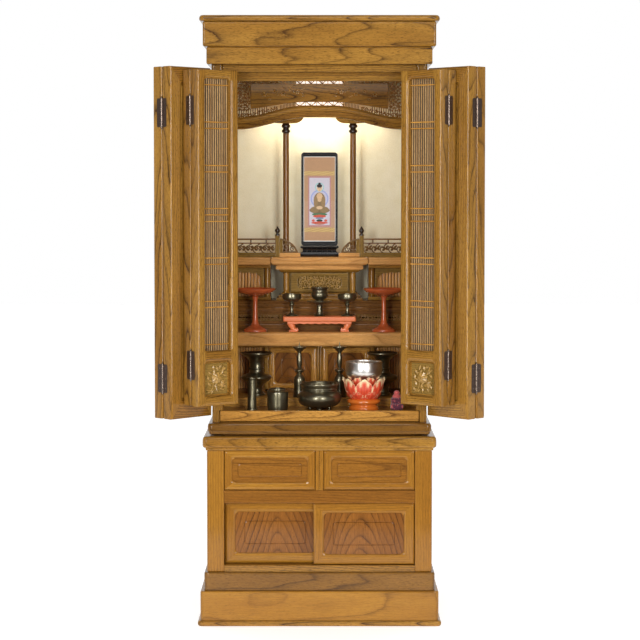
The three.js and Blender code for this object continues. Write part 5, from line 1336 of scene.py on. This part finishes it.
def bell_and_lotus(x, y, z):
    p = Piece("lotus_seat")
    prof = [(0, 0), (39.5, 0), (40.5, 1.6), (41, 5), (39, 8.5), (36.6, 11), (37, 14.5), (42.5, 17), (46, 21),
            (46, 24.5), (43, 28.5), (36, 31), (30, 36), (33, 56), (40, 68), (38, 69), (0, 69)]
    p.add(lathe(prof, x, y, z, 56, 3), "orange")
    cream, red, deep = srgb(252, 226, 176), srgb(226, 84, 52), srgb(176, 38, 26)

    def paint(turn, r, low, high, width):
        """Red with darker ribs, and a cream rim that runs into it along the veins."""
        def tint(v):
            t = (v[2] - z - low) / (high - low)
            a = math.atan2(v[1] - y, v[0] - x) - turn
            a = abs((a + math.pi) % (2 * math.pi) - math.pi) * r / (width * 0.5)
            vein = math.sin(a * 13 + 5 * t) * 0.5 + math.sin(a * 7 - 11 * t) * 0.5
            edge = max(a * 0.9, 1.25 * t - 0.22) + 0.22 * vein
            w = min(max((edge - 0.6) / 0.28, 0), 1)
            k = 0.5 + 0.5 * math.sin(a * 21 + 3 * t)
            base = [c * (1 - 0.5 * k) + d * 0.5 * k for c, d in zip(red, deep)]
            return tuple(b * (1 - w) + c * w for b, c in zip(base, cream))
        return tint
    for shift, *size, lean, curl in ((0.5, 33, 58, 94, 34, 8, 6), (0.0, 38, 30, 88, 40, 17, 9),
                                     (0.5, 35, 28, 56, 32, 13, 6)):
        for turn in around(7, (shift / 3.5 - 0.5) * math.pi):
            p.add(petal_shape(x, y, z, turn, *size, lean, curl), "petal", tint=paint(turn, *size))
    p.build("root", "lotus_stand", slot="lotus_lacquer")
    bell = [(0, 0), (24, 0.6), (38, 4.5), (46, 11), (50, 20), (51, 30), (50.4, 40), (49.6, 47), (50.2, 49), (49.4, 50),
            (47.6, 50), (46.6, 48), (47.2, 38), (47.4, 29), (46, 19), (42, 12), (34, 7), (18, 4.4), (0, 4)]
    turned("bell_bowl", "bell", bell, x, y, z + 82, 72, 4, "silver", "silver_metal")


def cushion(x, y, z):
    """Two stuffed squares on each other, with a knob on top and a tassel at each corner."""
    p = Piece("brocade_rest")

    def pillow(half, z0, z1, puff):
        rings = []
        levels = 9
        for j in range(levels + 1):
            t = j / levels
            bulge = math.sin(math.pi * t) ** 0.55
            ring = []
            for a in around(32, math.pi / 4):
                c, s = math.cos(a), math.sin(a)
                q = (abs(c) ** 3.4 + abs(s) ** 3.4) ** (-1 / 3.4)
                pull = 1 - 0.07 * (1 - abs(math.cos(2 * (a - math.pi / 4))))
                rad = half * q * pull * (0.86 + 0.14 * bulge)
                rad *= 0.4 + 0.6 * bulge if t in (0, 1) else 1
                ring.append((x + rad * c, y + rad * s, z + z0 + (z1 - z0) * t + puff * (1 - (q - 1) * 2) * (t - 0.5)))
            rings.append(ring)
        return skin(rings)
    p.add(pillow(18, 0.6, 19, 1.0), "brocade")
    p.add(pillow(17, 17, 35, 1.2), "brocade")
    knob = [(0, 32), (8, 32), (11, 35), (11.5, 39), (9.5, 42.5), (6.5, 44), (6.5, 44), (8, 46.5), (7, 51), (3.5, 53.6),
            (0, 54)]
    p.add(lathe(knob, x, y, z, 28, 4), "red_cloth")
    for a in around(4, math.pi / 4):
        path = [(x + r * math.cos(a), y + r * math.sin(a), z + up) for r, up in ((16, 19), (19.5, 14), (20, 7))]
        p.add(tube(path, [1.2, 1.8, 2.4]), "red_cloth")
    p.build("root", "striker_cushion", slot="brocade")


for build_part in (foot, lower_cabinet, upper_cabinet, chamber, altar, beam, transom, cloth_back, scroll,
                   upper_furnishings, lower_furnishings):
    build_part()
for hand_side in SIDES:
    for build_part in (drawer, sliding_door, doors, railing, pillar):
        build_part(hand_side)


# ---------------------------------------------------------------- stage
def linked(name, data, place, turn):
    ob = bpy.data.objects.new(name, data)
    ob.location = place
    ob.rotation_euler = turn
    bpy.context.scene.collection.objects.link(ob)
    return ob


def area_light(name, place, aim, width, depth, power, color=(1, 1, 1)):
    data = bpy.data.lights.new(name, "AREA")
    data.shape, data.size, data.size_y, data.energy, data.color = "RECTANGLE", width, depth, power, color
    linked(name, data, place, (Vector(aim) - Vector(place)).to_track_quat("-Z", "Y").to_euler())


def floor_and_world():
    """A pale floor that ends in front of the cabinet, so that the fronts don't mirror it, and a white surround."""
    size, front_edge = 16, -1.6
    bpy.ops.mesh.primitive_plane_add(size=size, location=(0, front_edge + size / 2, 0))
    floor = bpy.context.active_object
    floor.name = "floor"
    floor.data.materials.append(glow_material("pale_floor", 0.6, 0.55, (1, 1, 1), 3, [0.90] * 3, [0.93] * 3))
    world = bpy.data.worlds.new("studio")
    bpy.context.scene.world = world
    world.use_nodes = True
    tree = world.node_tree
    where, sep, ramp = (tree.nodes.new("ShaderNode" + kind) for kind in ("TexCoord", "SeparateXYZ", "ValToRGB"))
    tree.links.new(where.outputs["Generated"], sep.inputs[0])
    tree.links.new(sep.outputs[1], ramp.inputs[0])
    ramp.color_ramp.elements[0].color = (0.14, 0.14, 0.14, 1)
    ramp.color_ramp.elements[1].color = (1, 1, 1, 1)
    ramp.color_ramp.elements[1].position = 0.35
    tree.links.new(ramp.outputs[0], tree.nodes["Background"].inputs[0])


def camera(place, pitch, lens, shift):
    """The photograph's view, from straight ahead and a little downwards."""
    data = bpy.data.cameras.new("camera")
    data.sensor_width, data.lens, data.shift_y, data.clip_end = 36, lens, shift, 50
    bpy.context.scene.camera = linked("camera", data, place, (math.radians(90 - pitch), 0, 0))


floor_and_world()
area_light("soft_left", (-1.45, -4.6, 1.3), (0, 0, 0.9), 1.0, 2.2, 104)
area_light("soft_right", (1.45, -4.6, 1.3), (0, 0, 0.9), 1.0, 2.2, 95)
area_light("soft_above", (0, -2.6, 3.0), (0, 0, 1.0), 2.0, 0.8, 20)
area_light("front_lamp", (0, -0.12, 1.478), (0, 0.2, 1.1), 0.46, 0.04, 0.12, (1.0, 0.95, 0.86))
area_light("altar_lamp", (0, 0.142, 1.396), (0, 0.2, 1.05), 0.34, 0.02, 0.5, (1.0, 0.91, 0.74))
camera(place=(0.0014, -5.363, 1.166), pitch=2.7, lens=107.57, shift=-0.0595)
bpy.context.scene.view_settings.view_transform = "Standard"
